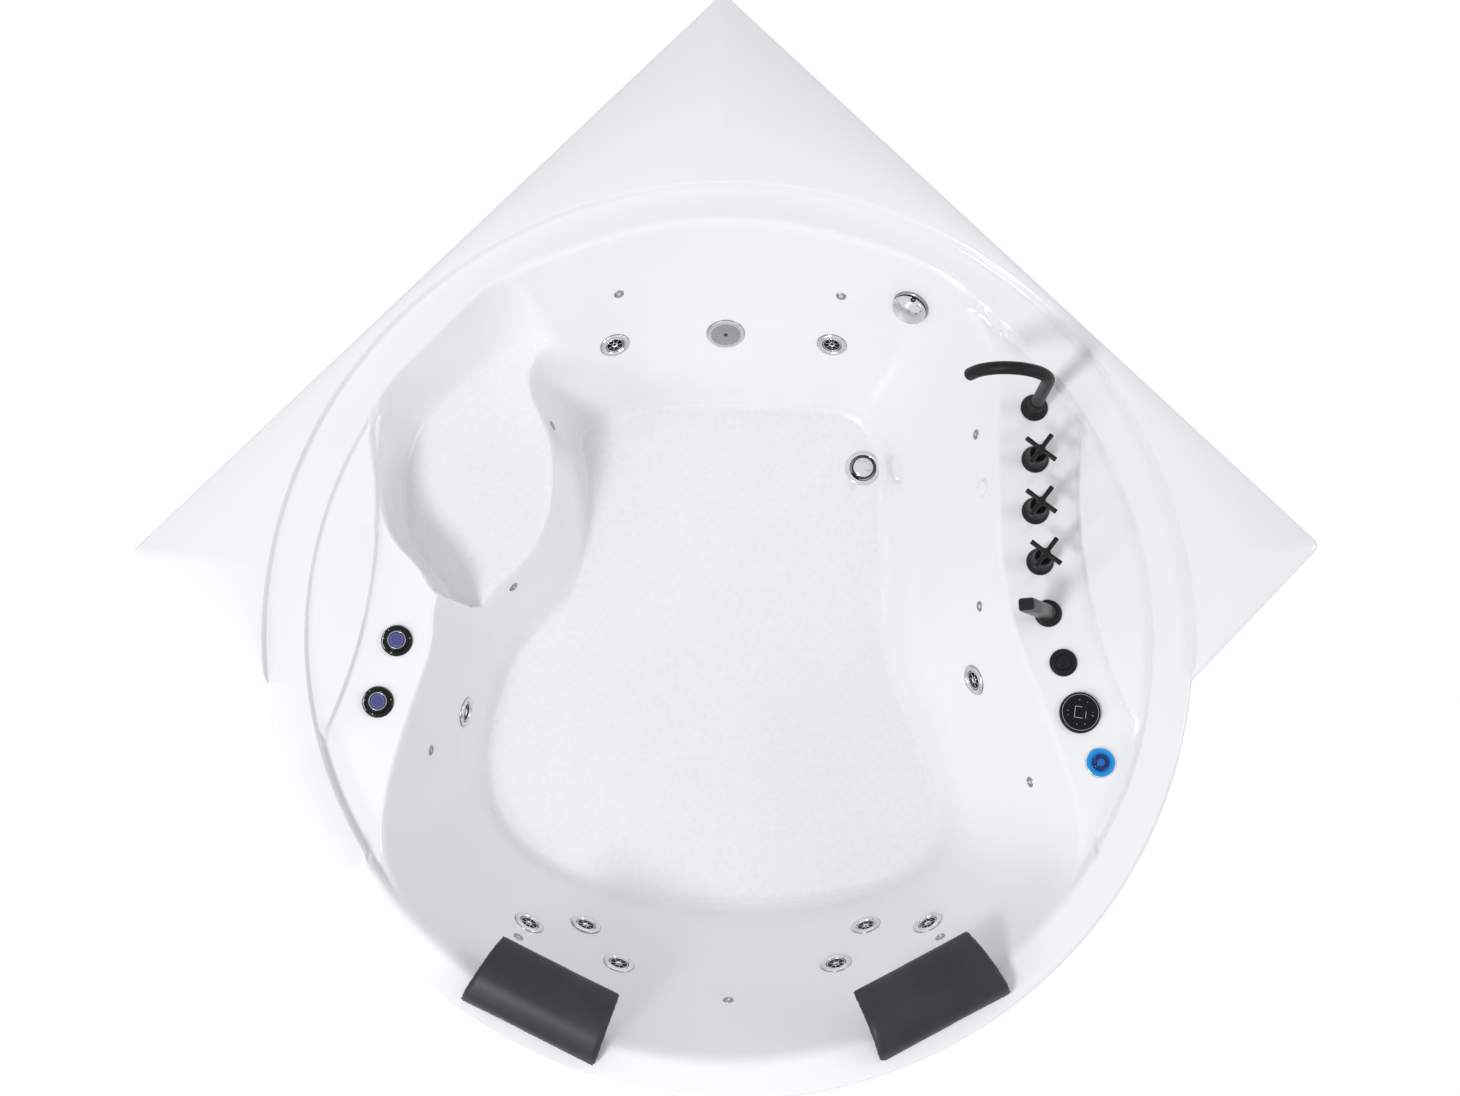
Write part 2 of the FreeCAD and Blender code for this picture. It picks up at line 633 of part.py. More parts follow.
def support_frame():
    """Welded frame: perimeter and cross bars, posts under the deck, foot plates and pump tray."""
    pieces = []
    for start, end in zip(POSTS, POSTS[1:] + POSTS[:1]):
        pieces.append(angle_bar(start, end, -1))
    for y, inward in ((FRONT_RAIL_Y, 1), (BACK_RAIL_Y, -1)):
        pieces.append(angle_bar((-rail_reach(y), y), (rail_reach(y), y), inward))
    for x, y in POSTS:
        deck = RIM_TOP if math.hypot(x, y) > RIM_R else RING_TOP
        corner = V(x - POST / 2, y - POST / 2, RAIL_BOTTOM)
        pieces.append(Part.makeBox(POST, POST, deck - SKIN - RAIL_BOTTOM, corner))
    for x, y in FEET:
        pieces.append(Part.makeBox(FOOT_PLATE, FOOT_PLATE, FOOT_PLATE_T,
                                   V(x - FOOT_PLATE / 2, y - FOOT_PLATE / 2, RAIL_BOTTOM - FOOT_PLATE_T)))
    front = PUMP_Y - TRAY_DEPTH / 2
    back = PUMP_Y + TRAY_DEPTH / 2
    pieces.append(prism([(-rail_reach(front), front), (rail_reach(front), front),
                         (rail_reach(back), back), (-rail_reach(back), back)], RAIL_TOP, RAIL_TOP + TRAY_T))
    frame = fuse_all(pieces)
    holes = [disc(STUD_R + STUD_CLEAR, RAIL_BOTTOM - FOOT_PLATE_T - 1, RAIL_BOTTOM + 2 * NUT_H, x, y)
             for x, y in FEET]
    bore = POST - 2 * POST_WALL
    hollow = [Part.makeBox(bore, bore, RIM_TOP, V(x - bore / 2, y - bore / 2, RAIL_BOTTOM)) for x, y in POSTS]
    return frame.cut(holes + hollow)


def feet():
    """Threaded studs with lock nuts, and the pads that they stand on."""
    plate = RAIL_BOTTOM - FOOT_PLATE_T
    studs = []
    pads = []
    for x, y in FEET:
        stud = disc(STUD_R, PAD_H / 2, RAIL_BOTTOM + NUT_H)
        lower = hexagon(NUT_AF, plate - NUT_H, plate)
        studs.append(placed(fuse_all([stud, lower]), V(x, y, 0)))
        pad = turned([(0, 0), (PAD_R, 0), (PAD_R, PAD_H * 0.35), (PAD_R * 0.45, PAD_H), (0, PAD_H)])
        pads.append(placed(pad.cut(disc(STUD_R, PAD_H / 2, PAD_H + 1)), V(x, y, 0)))
    return studs, pads


# ================================================================ waste and overflow
def drain_parts():
    """Chrome flange with a guide spider, plug on its stem, body under the floor, and trap."""
    at = V(DRAIN_X, DRAIN_Y, WELL_FLOOR)
    throat = DRAIN_BORE_R - DRAIN_WALL
    lowest = -DRAIN_THROAT
    flange = turned([(throat, lowest), (DRAIN_BORE_R, lowest), (DRAIN_BORE_R, 0), (DRAIN_R, 0),
                     (DRAIN_R - 1.5, DRAIN_FLANGE_T * 0.7), (DRAIN_R - 5, DRAIN_FLANGE_T),
                     (throat + 4, DRAIN_FLANGE_T), (throat, 0)])
    hub = disc(PLUG_STEM_R + 3, lowest, lowest + GUIDE_H)
    arms = [placed(Part.makeBox(throat + 1, 3, GUIDE_H, V(0, -1.5, lowest)), ORIGIN, Z_AXIS, a)
            for a in (30, 150, 270)]
    spider = fuse_all([hub] + arms).cut(disc(PLUG_STEM_R + STEM_FIT, lowest - 1, 1))
    keep("drain_flange", placed(fuse_all([flange, spider]), at))
    cap = turned([(0, 1), (PLUG_R * 0.7, 1), (PLUG_R - 2, 2.2), (PLUG_R, 4), (PLUG_R - 1, 6),
                  (PLUG_R * 0.6, 9.5), (0, 11)])
    keep("drain_plug", placed(fuse_all([cap, disc(PLUG_STEM_R, lowest - PLUG_LIFT - 4, 3)]), at))

    body_r = DRAIN_BORE_R + 8
    cup = turned([(DRAIN_BORE_R + FIT_GAP, -SKIN), (body_r, -SKIN), (body_r, -SKIN - 6),
                  (DRAIN_BORE_R + 4, -SKIN - 10), (DRAIN_BORE_R + 4, -DRAIN_BODY_H),
                  (OUTLET_R - 3, -DRAIN_BODY_H),
                  (OUTLET_R - 3, -DRAIN_BODY_H + 4), (DRAIN_BORE_R + FIT_GAP, -DRAIN_BODY_H + 4)])
    neck = ring(OUTLET_R, OUTLET_R - 3, -DRAIN_BODY_H - 8, -DRAIN_BODY_H)
    keep("drain_body", placed(fuse_all([cup, neck]), at))
    top = WELL_FLOOR - DRAIN_BODY_H - 8
    low = TRAP_LOW
    turns = ((0, top), (0, low), (TRAP_RUN, low), (TRAP_RUN, TRAP_OUT_Z),
             (2 * TRAP_RUN + OUTLET_STRAIGHT, TRAP_OUT_Z))
    path = [V(DRAIN_X, DRAIN_Y + y, z) for y, z in turns]
    keep("trap", pipe(path, OUTLET_R * 1.05, OUTLET_R, OUTLET_R - 3))


def overflow_parts(point, facing):
    """Chrome back ring, domed turning knob, body behind the wall and pipe down to the waste."""
    wall = skin_along(facing)
    back_ring = turned([(OVERFLOW_BORE_R - 5, -wall - 2), (OVERFLOW_BORE_R, -wall - 2), (OVERFLOW_BORE_R, 0),
                        (OVERFLOW_R, 0), (OVERFLOW_R, 4), (OVERFLOW_R - 3, 6), (OVERFLOW_BORE_R - 5, 6)])
    hub = disc(KNOB_STEM_R + 4, -wall - 2, 3)
    arms = [placed(Part.makeBox(OVERFLOW_BORE_R - 3, 4, 3, V(0, -2, -wall - 2)), ORIGIN, Z_AXIS, a)
            for a in (90, 210, 330)]
    guide = fuse_all([back_ring, hub] + arms).cut(disc(KNOB_STEM_R + STEM_FIT, -wall - 3, 4))
    keep("overflow_ring", placed(guide, point, facing))
    knob_r = OVERFLOW_R - 2
    knob = turned([(0, -wall), (KNOB_STEM_R, -wall), (KNOB_STEM_R, 9), (knob_r, 9), (knob_r, 17),
                   (knob_r - 4, 22), (knob_r * 0.6, 27), (knob_r * 0.3, 29), (0, 29.5)])
    notch = Part.makeCylinder(5, 20, V(0, knob_r - 2, 5))
    keep("overflow_knob", placed(knob.cut(notch), point, facing))
    back = -wall - FIT_GAP
    body_r = OVERFLOW_R - 3
    cup = turned([(OVERFLOW_BORE_R + FIT_GAP, back), (body_r, back), (body_r, back - 26), (0, back - 26),
                  (0, back - 22), (OVERFLOW_BORE_R + FIT_GAP, back - 22)])
    keep("overflow_body", placed(cup, point, facing))
    middle = point + facing * (back - 14)
    down = V(0, 0, -1)
    square = (down - facing * down.dot(facing)).normalize()
    start = middle + square * body_r
    bottom = OVERFLOW_PIPE_LOW
    knee = V(start.x + square.x * OVERFLOW_REACH, start.y + square.y * OVERFLOW_REACH,
             start.z + square.z * OVERFLOW_REACH)
    foot = V(knee.x, knee.y, bottom)
    into = V(DRAIN_X, DRAIN_Y, bottom)
    last = into + (foot - into).normalize() * (DRAIN_BORE_R + 4)
    hose = pipe([start, knee, foot, last], OVERFLOW_PIPE_R * 1.3, OVERFLOW_PIPE_R)
    keep("overflow_pipe", hose.cut([PARTS["overflow_body"], PARTS["drain_body"]]))


# ================================================================ jets
def jet_parts(frames):
    """Ten jets: body behind the wall, chrome ring, turning nozzle with four blades."""
    rings = []
    bodies = []
    for (name, _, _), (point, facing) in zip(JETS, frames):
        wall = skin_along(facing)
        flange = turned([(JET_NOZZLE_R + FIT_GAP, -wall - 4), (JET_NECK_R, -wall - 4), (JET_NECK_R, 0),
                         (JET_R, 0), (JET_R - 1.0, JET_PROUD * 0.55), (JET_R - 4.0, JET_PROUD),
                         (JET_NOZZLE_R + 3.5, JET_PROUD), (JET_NOZZLE_R + FIT_GAP, JET_PROUD * 0.4)])
        rings.append(placed(flange, point, facing))
        rim = turned([(JET_NOZZLE_R - 3.5, -wall - 3), (JET_NOZZLE_R, -wall - 3), (JET_NOZZLE_R, 0.5),
                      (JET_NOZZLE_R - 2.0, 1.8), (JET_NOZZLE_R - 3.5, 0)])
        bore = turned([(JET_EYE_R - 1.5, -wall - 3), (JET_EYE_R, -wall - 3), (JET_EYE_R + 1.5, 1),
                       (JET_EYE_R, 3), (JET_EYE_R - 1.5, 1)])
        blade = Part.makeBox(JET_NOZZLE_R - JET_EYE_R - 1, 2.0, 5.0, V(JET_EYE_R - 0.5, -1.0, -wall - 3))
        blades = [placed(blade, ORIGIN, Z_AXIS, 45 + 90 * i) for i in range(4)]
        keep("jet_nozzle_" + name, placed(fuse_all([rim, bore] + blades), point, facing))
        back = -wall - BODY_GAP
        body = turned([(JET_NECK_R + 0.5, back), (JET_BODY_R, back), (JET_BODY_R, back - 8),
                       (JET_NECK_R + 2, back - 10),
                       (JET_NECK_R + 2, back - JET_BODY_L), (0, back - JET_BODY_L),
                       (0, back - JET_BODY_L + 2 * BRANCH_R),
                       (JET_NECK_R - 1, back - JET_BODY_L + 2 * BRANCH_R),
                       (JET_NECK_R - 1, -wall - 4.3), (JET_NECK_R + 0.5, -wall - 4.3)])
        bodies.append(placed(body, point, facing))
    keep("jet_rings", *rings)
    keep("jet_bodies", *bodies)


def mini_jets(frames):
    """Small chrome outlets with a stem and a nut behind the wall."""
    out = []
    for point, facing in frames:
        back = -skin_along(facing) - FIT_GAP
        cap = turned([(2.0, back - MINI_TAIL / 2), (0, back - MINI_TAIL / 2), (0, back - MINI_TAIL),
                      (MINI_STEM_R, back - MINI_TAIL), (MINI_STEM_R, 0), (MINI_R, 0),
                      (MINI_R - 1, MINI_PROUD * 0.6), (MINI_R - 3.5, MINI_PROUD), (3.5, MINI_PROUD * 0.8),
                      (2.0, 0)])
        nut = ring(MINI_R - 1, MINI_STEM_R - 0.5, back - 5, back)
        out.append(placed(fuse_all([cap, nut]), point, facing))
    keep("mini_jets", *out)


def suction_parts(point, facing):
    """Perforated cover with its centre screw, chrome rim, body behind the wall."""
    wall = skin_along(facing)
    back = -wall - FIT_GAP
    cover_gap_r = SUCTION_COVER_R + FIT_GAP
    rim = turned([(SUCTION_BORE_R - 5, -wall - 3), (SUCTION_BORE_R, -wall - 3), (SUCTION_BORE_R, 0),
                  (SUCTION_R, 0), (SUCTION_R - 1, 3), (SUCTION_R - 4, 4.5), (cover_gap_r, 4.5),
                  (cover_gap_r, 1.5), (SUCTION_BORE_R - 5, 1.5)])
    spokes = [placed(Part.makeBox(SUCTION_BORE_R - 4, 3, 3, V(0, -1.5, -4)), ORIGIN, Z_AXIS, 90 * i + 45)
              for i in range(4)]
    boss = disc(6, -4, 1.5)
    keep("suction_rim", placed(fuse_all([rim, boss] + spokes).cut(disc(1.6, -3, 2)), point, facing))
    cover = disc(SUCTION_COVER_R, 1.5, 4.0)
    holes = [disc(SUCTION_HOLE_R, 0, 6, *polar(radius, 360 * i / count))
             for radius, count in SUCTION_HOLES for i in range(count)]
    screw = fuse_all([disc(1.6, -2.5, 4.0), turned([(0, 4.0), (4.2, 4.0), (3.6, 5.4), (0, 6.0)])])
    keep("suction_cover", placed(fuse_all([cover.cut(holes), screw]), point, facing))
    cup = turned([(SUCTION_BORE_R + 0.5, back), (SUCTION_R - 4, back), (SUCTION_R - 4, back - 9),
                  (SUCTION_BORE_R + 3, back - 12), (SUCTION_BORE_R + 3, back - 34), (0, back - 34),
                  (0, back - 31), (SUCTION_BORE_R, back - 31), (SUCTION_BORE_R, -wall - 3.3),
                  (SUCTION_BORE_R + 0.5, -wall - 3.3)])
    keep("suction_body", placed(cup, point, facing))


def light_parts(point, facing):
    """Small frosted lamp in the right wall."""
    back = -skin_along(facing) - FIT_GAP
    housing = turned([(0, back - 22), (LIGHT_BORE_R, back - 22), (LIGHT_BORE_R, 0), (LIGHT_R, 0),
                      (LIGHT_R, 1.6), (LIGHT_R - 2, 2.2), (0, 2.2)])
    nut = ring(LIGHT_R - 1, LIGHT_BORE_R - 0.5, back - 6, back)
    keep("light_housing", placed(fuse_all([housing, nut]), point, facing))
    lens = turned([(0, 2.2), (LIGHT_R - 4, 2.2), (LIGHT_R - 5, 4.0), (0, 5.0)])
    keep("light_lens", placed(lens, point, facing))


# ================================================================ taps
def tap_base(collar_r, collar_h, bore_r, bore_from):
    """Domed base on the deck with a collar, a threaded shank through the deck and a back nut."""
    profile = [(0, -SHANK_L), (TAP_SHANK_R, -SHANK_L), (TAP_SHANK_R, 0), (TAP_BASE_R, 0), (TAP_BASE_R, 3),
               (TAP_BASE_R - 3, 7), (collar_r + 2.5, 12), (collar_r, 17), (collar_r, collar_h), (0, collar_h)]
    body = turned(profile)
    nut = ring(TAP_SHANK_R + 6, TAP_SHANK_R - 0.5, -SKIN - 8 - FIT_GAP, -SKIN - FIT_GAP)
    return fuse_all([body, nut]).cut(disc(bore_r, bore_from, collar_h + 1))


def spout_parts():
    """Swan-neck spout that swivels in its base."""
    at = V(*SPOUT_AT, DECK_TOP)
    stem_r = SPOUT_TUBE_R
    keep("spout_base", placed(tap_base(stem_r + 4, SPOUT_BASE_H, stem_r + STEM_FIT, SPOUT_SOCKET), at))
    points = [V(0, 0, SPOUT_SOCKET + 1), V(0, 0, SPOUT_RISE)]
    centre = V(SPOUT_ARC_R, 0, SPOUT_RISE)
    middle = math.radians(180 - SPOUT_ARC_DEG / 2)
    last = math.radians(180 - SPOUT_ARC_DEG)
    mid_point = centre + V(math.cos(middle), 0, math.sin(middle)) * SPOUT_ARC_R
    end_point = centre + V(math.cos(last), 0, math.sin(last)) * SPOUT_ARC_R
    onward = V(math.sin(last), 0, -math.cos(last))
    path = Part.Wire([Part.makeLine(*points), Part.Arc(points[1], mid_point, end_point).toShape(),
                      Part.makeLine(end_point, end_point + onward * SPOUT_LIP)])
    tube = sweep_disc(path, points[0], Z_AXIS, stem_r).cut(sweep_disc(path, points[0], Z_AXIS, SPOUT_BORE_R))
    collar = ring(stem_r + 3, stem_r - 1, SPOUT_BASE_H + FIT_GAP, SPOUT_BASE_H + 7)
    keep("spout", placed(fuse_all([tube, collar]), at, Z_AXIS, SPOUT_HEADING))


def handle_parts():
    """Three valves, each with a four-arm handle on its spindle."""
    bases = []
    for name, x, y in HANDLES:
        at = V(x, y, DECK_TOP)
        base = tap_base(HANDLE_COLLAR_R, HANDLE_BASE_H, SPINDLE_R + STEM_FIT, HANDLE_BASE_H - SPINDLE_DEEP)
        groove = ring(HANDLE_COLLAR_R - 2.5, HANDLE_HUB_R + 1.5, HANDLE_BASE_H - 12, HANDLE_BASE_H + 1)
        base = base.cut(groove)
        body = turned([(0, -VALVE_L), (SUPPLY_R, -VALVE_L), (SUPPLY_R, -VALVE_L + SUPPLY_TAIL),
                       (VALVE_R, -VALVE_L + SUPPLY_TAIL + 6), (VALVE_R, -SHANK_L), (0, -SHANK_L)])
        bases.append(placed(fuse_all([base, body]), at))
        spindle = disc(SPINDLE_R, HANDLE_BASE_H - SPINDLE_DEEP + 1, HANDLE_BASE_H + 4)
        hub = turned([(0, HANDLE_BASE_H + FIT_GAP), (HANDLE_HUB_R - 1.5, HANDLE_BASE_H + FIT_GAP),
                      (HANDLE_HUB_R - 1.5, HANDLE_HEIGHT - 12), (HANDLE_HUB_R, HANDLE_HEIGHT - 9),
                      (HANDLE_HUB_R, HANDLE_HEIGHT - 2), (HANDLE_HUB_R - 2, HANDLE_HEIGHT),
                      (0, HANDLE_HEIGHT)])
        arm = Part.makeCylinder(ARM_R, ARM_REACH, V(0, 0, HANDLE_HEIGHT - ARM_R - 2), X_AXIS)
        arms = [placed(arm, ORIGIN, Z_AXIS, ARM_TURN + 90 * i) for i in range(4)]
        keep("handle_" + name, placed(fuse_all([spindle, hub] + arms), at))
    keep("valve_bodies", *bases)


def shower_parts():
    """Slanting holder and the stick hand shower that lifts out of it."""
    at = V(*SHOWER_AT, DECK_TOP)
    lean = math.radians(SHOWER_TILT)
    heading = math.radians(SHOWER_HEADING)
    facing = V(math.sin(lean) * math.cos(heading), math.sin(lean) * math.sin(heading), math.cos(lean))
    base = turned([(0, -SHANK_L), (TAP_SHANK_R, -SHANK_L), (TAP_SHANK_R, 0), (TAP_BASE_R, 0), (TAP_BASE_R, 3),
                   (TAP_BASE_R - 3, 6), (0, 6)])
    nut = ring(TAP_SHANK_R + 6, TAP_SHANK_R - 0.5, -SKIN - 8 - FIT_GAP, -SKIN - FIT_GAP)
    sleeve = placed(disc(SHOWER_SLEEVE_R, -2, SHOWER_SLEEVE_H), V(0, 0, 4), facing)
    floor_cut = Part.makeBox(200, 200, 60, V(-100, -100, -60))
    holder = fuse_all([base, sleeve.cut(floor_cut), nut])
    bore = disc(SHOWER_STEM_R + FIT_GAP, SHOWER_STEM_FROM, SHOWER_SLEEVE_H + 1)
    holder = holder.cut(placed(bore, V(0, 0, 4), facing))
    keep("shower_holder", placed(holder, at))
    corner = V(-SHOWER_W / 2, -SHOWER_D / 2, SHOWER_SLEEVE_H + FIT_GAP)
    stick = Part.makeBox(SHOWER_W, SHOWER_D, SHOWER_LEN, corner)
    uprights = [e for e in stick.Edges if abs(e.tangentAt(e.FirstParameter).z) > 0.9]
    stick = stick.makeFillet(SHOWER_EDGE, uprights)
    stem = disc(SHOWER_STEM_R, SHOWER_STEM_FROM + 1, SHOWER_SLEEVE_H + 2)
    hand = fuse_all([stick, stem])
    keep("hand_shower", placed(hand, at + V(0, 0, 4), facing))


# ================================================================ controls
def control_bezel(radius, bore_r, height):
    """Round bezel on the deck with a shank, a blind bore for its button and a back nut."""
    body = turned([(0, -CONTROL_SHANK_L), (CONTROL_SHANK_R, -CONTROL_SHANK_L), (CONTROL_SHANK_R, 0),
                   (radius, 0), (radius, height * 0.5), (radius - 2.5, height), (0, height)])
    nut = ring(CONTROL_SHANK_R + 6, CONTROL_SHANK_R - 0.5, -SKIN - 7 - FIT_GAP, -SKIN - FIT_GAP)
    return fuse_all([body, nut]).cut(disc(bore_r, BEZEL_FLOOR, height + 1))


def button(radius, height):
    """Push button with a guide stem."""
    low = BEZEL_FLOOR + BUTTON_TRAVEL
    return turned([(0, low), (radius, low), (radius, height + 0.5), (radius - 2, height + 2),
                   (0, height + 2.6)])


def control_parts():
    """Buttons, panel and air controls."""
    for name, at, radius, inner in (("air_button", AIR_BUTTON_AT, AIR_BUTTON_R, AIR_BUTTON_CAP_R),
                                    ("lamp_button", LAMP_BUTTON_AT, LAMP_BUTTON_R, LAMP_BUTTON_CAP_R)):
        spot = V(*at, DECK_TOP)
        keep(name + "_bezel", placed(control_bezel(radius, inner + FIT_GAP, BEZEL_H), spot))
        keep(name, placed(button(inner, BEZEL_H), spot))
    spot = V(*PANEL_AT, DECK_TOP)
    body = turned([(0, -CONTROL_SHANK_L), (CONTROL_SHANK_R, -CONTROL_SHANK_L), (CONTROL_SHANK_R, 0),
                   (PANEL_R, 0), (PANEL_R, PANEL_H * 0.6), (PANEL_R - 1.5, PANEL_H), (PANEL_GLASS_R, PANEL_H),
                   (PANEL_GLASS_R, PANEL_H - PANEL_GLASS_T), (0, PANEL_H - PANEL_GLASS_T)])
    nut = ring(CONTROL_SHANK_R + 6, CONTROL_SHANK_R - 0.5, -SKIN - 7 - FIT_GAP, -SKIN - FIT_GAP)
    keep("panel_housing", placed(fuse_all([body, nut]), spot))
    keep("panel_glass", placed(disc(PANEL_GLASS_R, PANEL_H - PANEL_GLASS_T, PANEL_H + 0.4), spot))
    bezels = []
    for name, x, y in AIR_KNOBS:
        spot = V(x, y, DECK_TOP)
        bezels.append(placed(control_bezel(AIR_KNOB_R, AIR_DIAL_R + FIT_GAP, AIR_BEZEL_H), spot))
        dial = turned([(0, BEZEL_FLOOR), (AIR_DIAL_R, BEZEL_FLOOR), (AIR_DIAL_R, AIR_BEZEL_H + 2),
                       (AIR_DIAL_R - 1.5, AIR_BEZEL_H + 4), (AIR_DIAL_R - 5, AIR_BEZEL_H + 4),
                       (AIR_DIAL_R - 6.5, AIR_BEZEL_H + 2.5), (0, AIR_BEZEL_H + 2.5)])
        mark = Part.makeBox(7, 3, 3, V(AIR_DIAL_R - 7, -1.5, AIR_BEZEL_H + 2.8))
        keep("air_knob_" + name, placed(dial.cut(mark), spot, Z_AXIS, AIR_KNOB_SPIN))
    keep("air_knob_bezels", *bezels)


# ================================================================ head rests
def rest_section():
    """Arched section of a head rest: outer foot at x = 0, inner edge at x = -REST_DEPTH."""
    y = -REST_LENGTH / 2
    crown = V(-REST_DEPTH * REST_CROWN_AT, y, REST_RISE)
    foot = V(0, y, REST_FOOT)
    edge = V(-REST_DEPTH, y, REST_EDGE)
    upper = Part.BSplineCurve()
    upper.interpolate([foot, V(-REST_DEPTH * 0.1, y, REST_RISE * 0.72), crown,
                       V(-REST_DEPTH * 0.72, y, REST_RISE * 0.80), edge])
    lower_edge = edge + V(2.0, 0, -REST_THICK * 0.55)
    lower_foot = foot + V(-3.0, 0, -REST_THICK * 0.25)
    lower = Part.BSplineCurve()
    lower.interpolate([lower_edge, V(-REST_DEPTH * 0.70, y, REST_RISE * 0.80 - REST_THICK),
                       crown - V(0, 0, REST_THICK),
                       V(-REST_DEPTH * 0.16, y, REST_RISE * 0.62 - REST_THICK * 0.7), lower_foot])
    return Part.Wire([upper.toShape(), Part.makeLine(edge, lower_edge), lower.toShape(),
                      Part.makeLine(lower_foot, foot)])


def rest_pad():
    """Arched pad, narrower towards the well."""
    slope = (REST_LENGTH - REST_INNER) / 2 / REST_DEPTH
    outer = REST_LENGTH / 2 + REST_THICK * slope
    inner = REST_INNER / 2 - REST_THICK * slope
    inner_x = -REST_DEPTH - REST_THICK
    plan = prism([(REST_THICK, -outer), (REST_THICK, outer), (inner_x, inner), (inner_x, -inner)],
                 -REST_THICK, REST_RISE + REST_THICK)
    return Part.Face(rest_section()).extrude(V(0, REST_LENGTH, 0)).common(plan)


def rest_plate(pad):
    """Folded plate that carries a pad on the round rim."""
    half = REST_INNER / 2 - REST_PLATE_INSET
    post = -REST_POST_X - REST_PLATE
    top = REST_RISE - REST_THICK / 2
    profile = [(-REST_PLATE_OUT, 0), (-REST_PLATE_IN, 0), (-REST_PLATE_IN, REST_PLATE), (post, REST_PLATE),
               (post, top), (-REST_POST_X, top), (-REST_POST_X, REST_PLATE), (-REST_PLATE_OUT, REST_PLATE)]
    corners = [V(x, -half, z) for x, z in profile]
    plate = Part.Face(Part.makePolygon(corners + corners[:1])).extrude(V(0, 2 * half, 0))
    under = pad.copy()
    under.translate(V(0, 0, -FIT_GAP))
    return plate.cut([pad, under])


def head_rests():
    """Two arched pads, each on a folded plate screwed to the round rim."""
    plates = []
    pad = rest_pad()
    plate = rest_plate(pad)
    for name, azimuth in (("left", -90 - REST_TURN), ("right", -90 + REST_TURN)):
        at = V(*polar(REST_OUTER_R, azimuth), RING_TOP)
        keep("head_rest_" + name, placed(pad, at, Z_AXIS, azimuth))
        plates.append(placed(plate, at, Z_AXIS, azimuth))
    keep("rest_brackets", *plates)


# ================================================================ water and air works
def pump_parts(suction_point, suction_facing):
    """Motor, wet end and the suction pipe from the wall to its inlet."""
    axis_z = RAIL_TOP + TRAY_T + PUMP_AXIS_ABOVE
    start = -PUMP_MOTOR_L / 2 - PUMP_WET_L / 2
    case = turned([(0, 0), (PUMP_MOTOR_R - 8, 0), (PUMP_MOTOR_R, 8), (PUMP_MOTOR_R, PUMP_MOTOR_L),
                   (0, PUMP_MOTOR_L)])
    motor = placed(case, V(start, PUMP_Y, axis_z), X_AXIS)
    feet_z = RAIL_TOP + TRAY_T
    foot = Part.makeBox(PUMP_MOTOR_L * 0.6, PUMP_MOTOR_R * 1.5, PUMP_AXIS_ABOVE - PUMP_MOTOR_R * 0.6,
                        V(start + PUMP_MOTOR_L * 0.2, PUMP_Y - PUMP_MOTOR_R * 0.75, feet_z))
    keep("pump_motor", fuse_all([motor, foot]))
    face_x = start + PUMP_MOTOR_L
    volute = turned([(0, 0), (PUMP_WET_R, 0), (PUMP_WET_R, PUMP_WET_L - 14), (PUMP_WET_R - 16, PUMP_WET_L),
                     (0, PUMP_WET_L)])
    wet = placed(volute, V(face_x, PUMP_Y, axis_z), X_AXIS)
    inlet = Part.makeCylinder(INLET_R, INLET_L, V(face_x + PUMP_WET_L - 1, PUMP_Y, axis_z), X_AXIS)
    outlet_top = axis_z + PUMP_WET_R + OUTLET_RISE
    outlet = disc(INLET_R, axis_z + PUMP_WET_R * 0.8, outlet_top, face_x + PUMP_WET_L / 2, PUMP_Y)
    keep("pump_wet_end", fuse_all([wet, inlet, outlet]))

    body_back = suction_point - suction_facing * (skin_along(suction_facing) + FIT_GAP + 34)
    inlet_face = V(face_x + PUMP_WET_L - 1 + INLET_L, PUMP_Y, axis_z)
    behind = body_back - suction_facing * SUCTION_STRAIGHT
    below = V(behind.x, behind.y, axis_z)
    corner = V(inlet_face.x + SUCTION_STRAIGHT * 1.4, PUMP_Y, axis_z)
    side = V(corner.x, behind.y, axis_z)
    path = [body_back, behind, below, side, corner, inlet_face]
    keep("suction_pipe", pipe(path, WATER_PIPE_R * 1.6, WATER_PIPE_R, WATER_PIPE_R - WATER_PIPE_WALL))
    return V(face_x + PUMP_WET_L / 2, PUMP_Y, outlet_top)


def main_pipe(approach, bend, radius, height, bore_r, start, end):
    """Pipe that follows some points, joins a circle about the rim's centre and runs round it."""
    join = V(*polar(radius, start), height)
    lead = bent_path(approach + [join], bend)
    middle = V(*polar(radius, (start + end) / 2), height)
    around = Part.Arc(join, middle, V(*polar(radius, end), height)).toShape()
    heading = (approach[1] - approach[0]).normalize()
    return sweep_disc(Part.Wire(lead.Edges + [around]), approach[0], heading, bore_r)


def branch(tail, radius, height, bore_r):
    """Straight branch from the back of a wall fitting to the pipe round the well."""
    azimuth = math.degrees(math.atan2(tail.y, tail.x))
    way = V(*polar(radius, azimuth), height) - tail
    return Part.makeCylinder(bore_r, way.Length, tail, way)


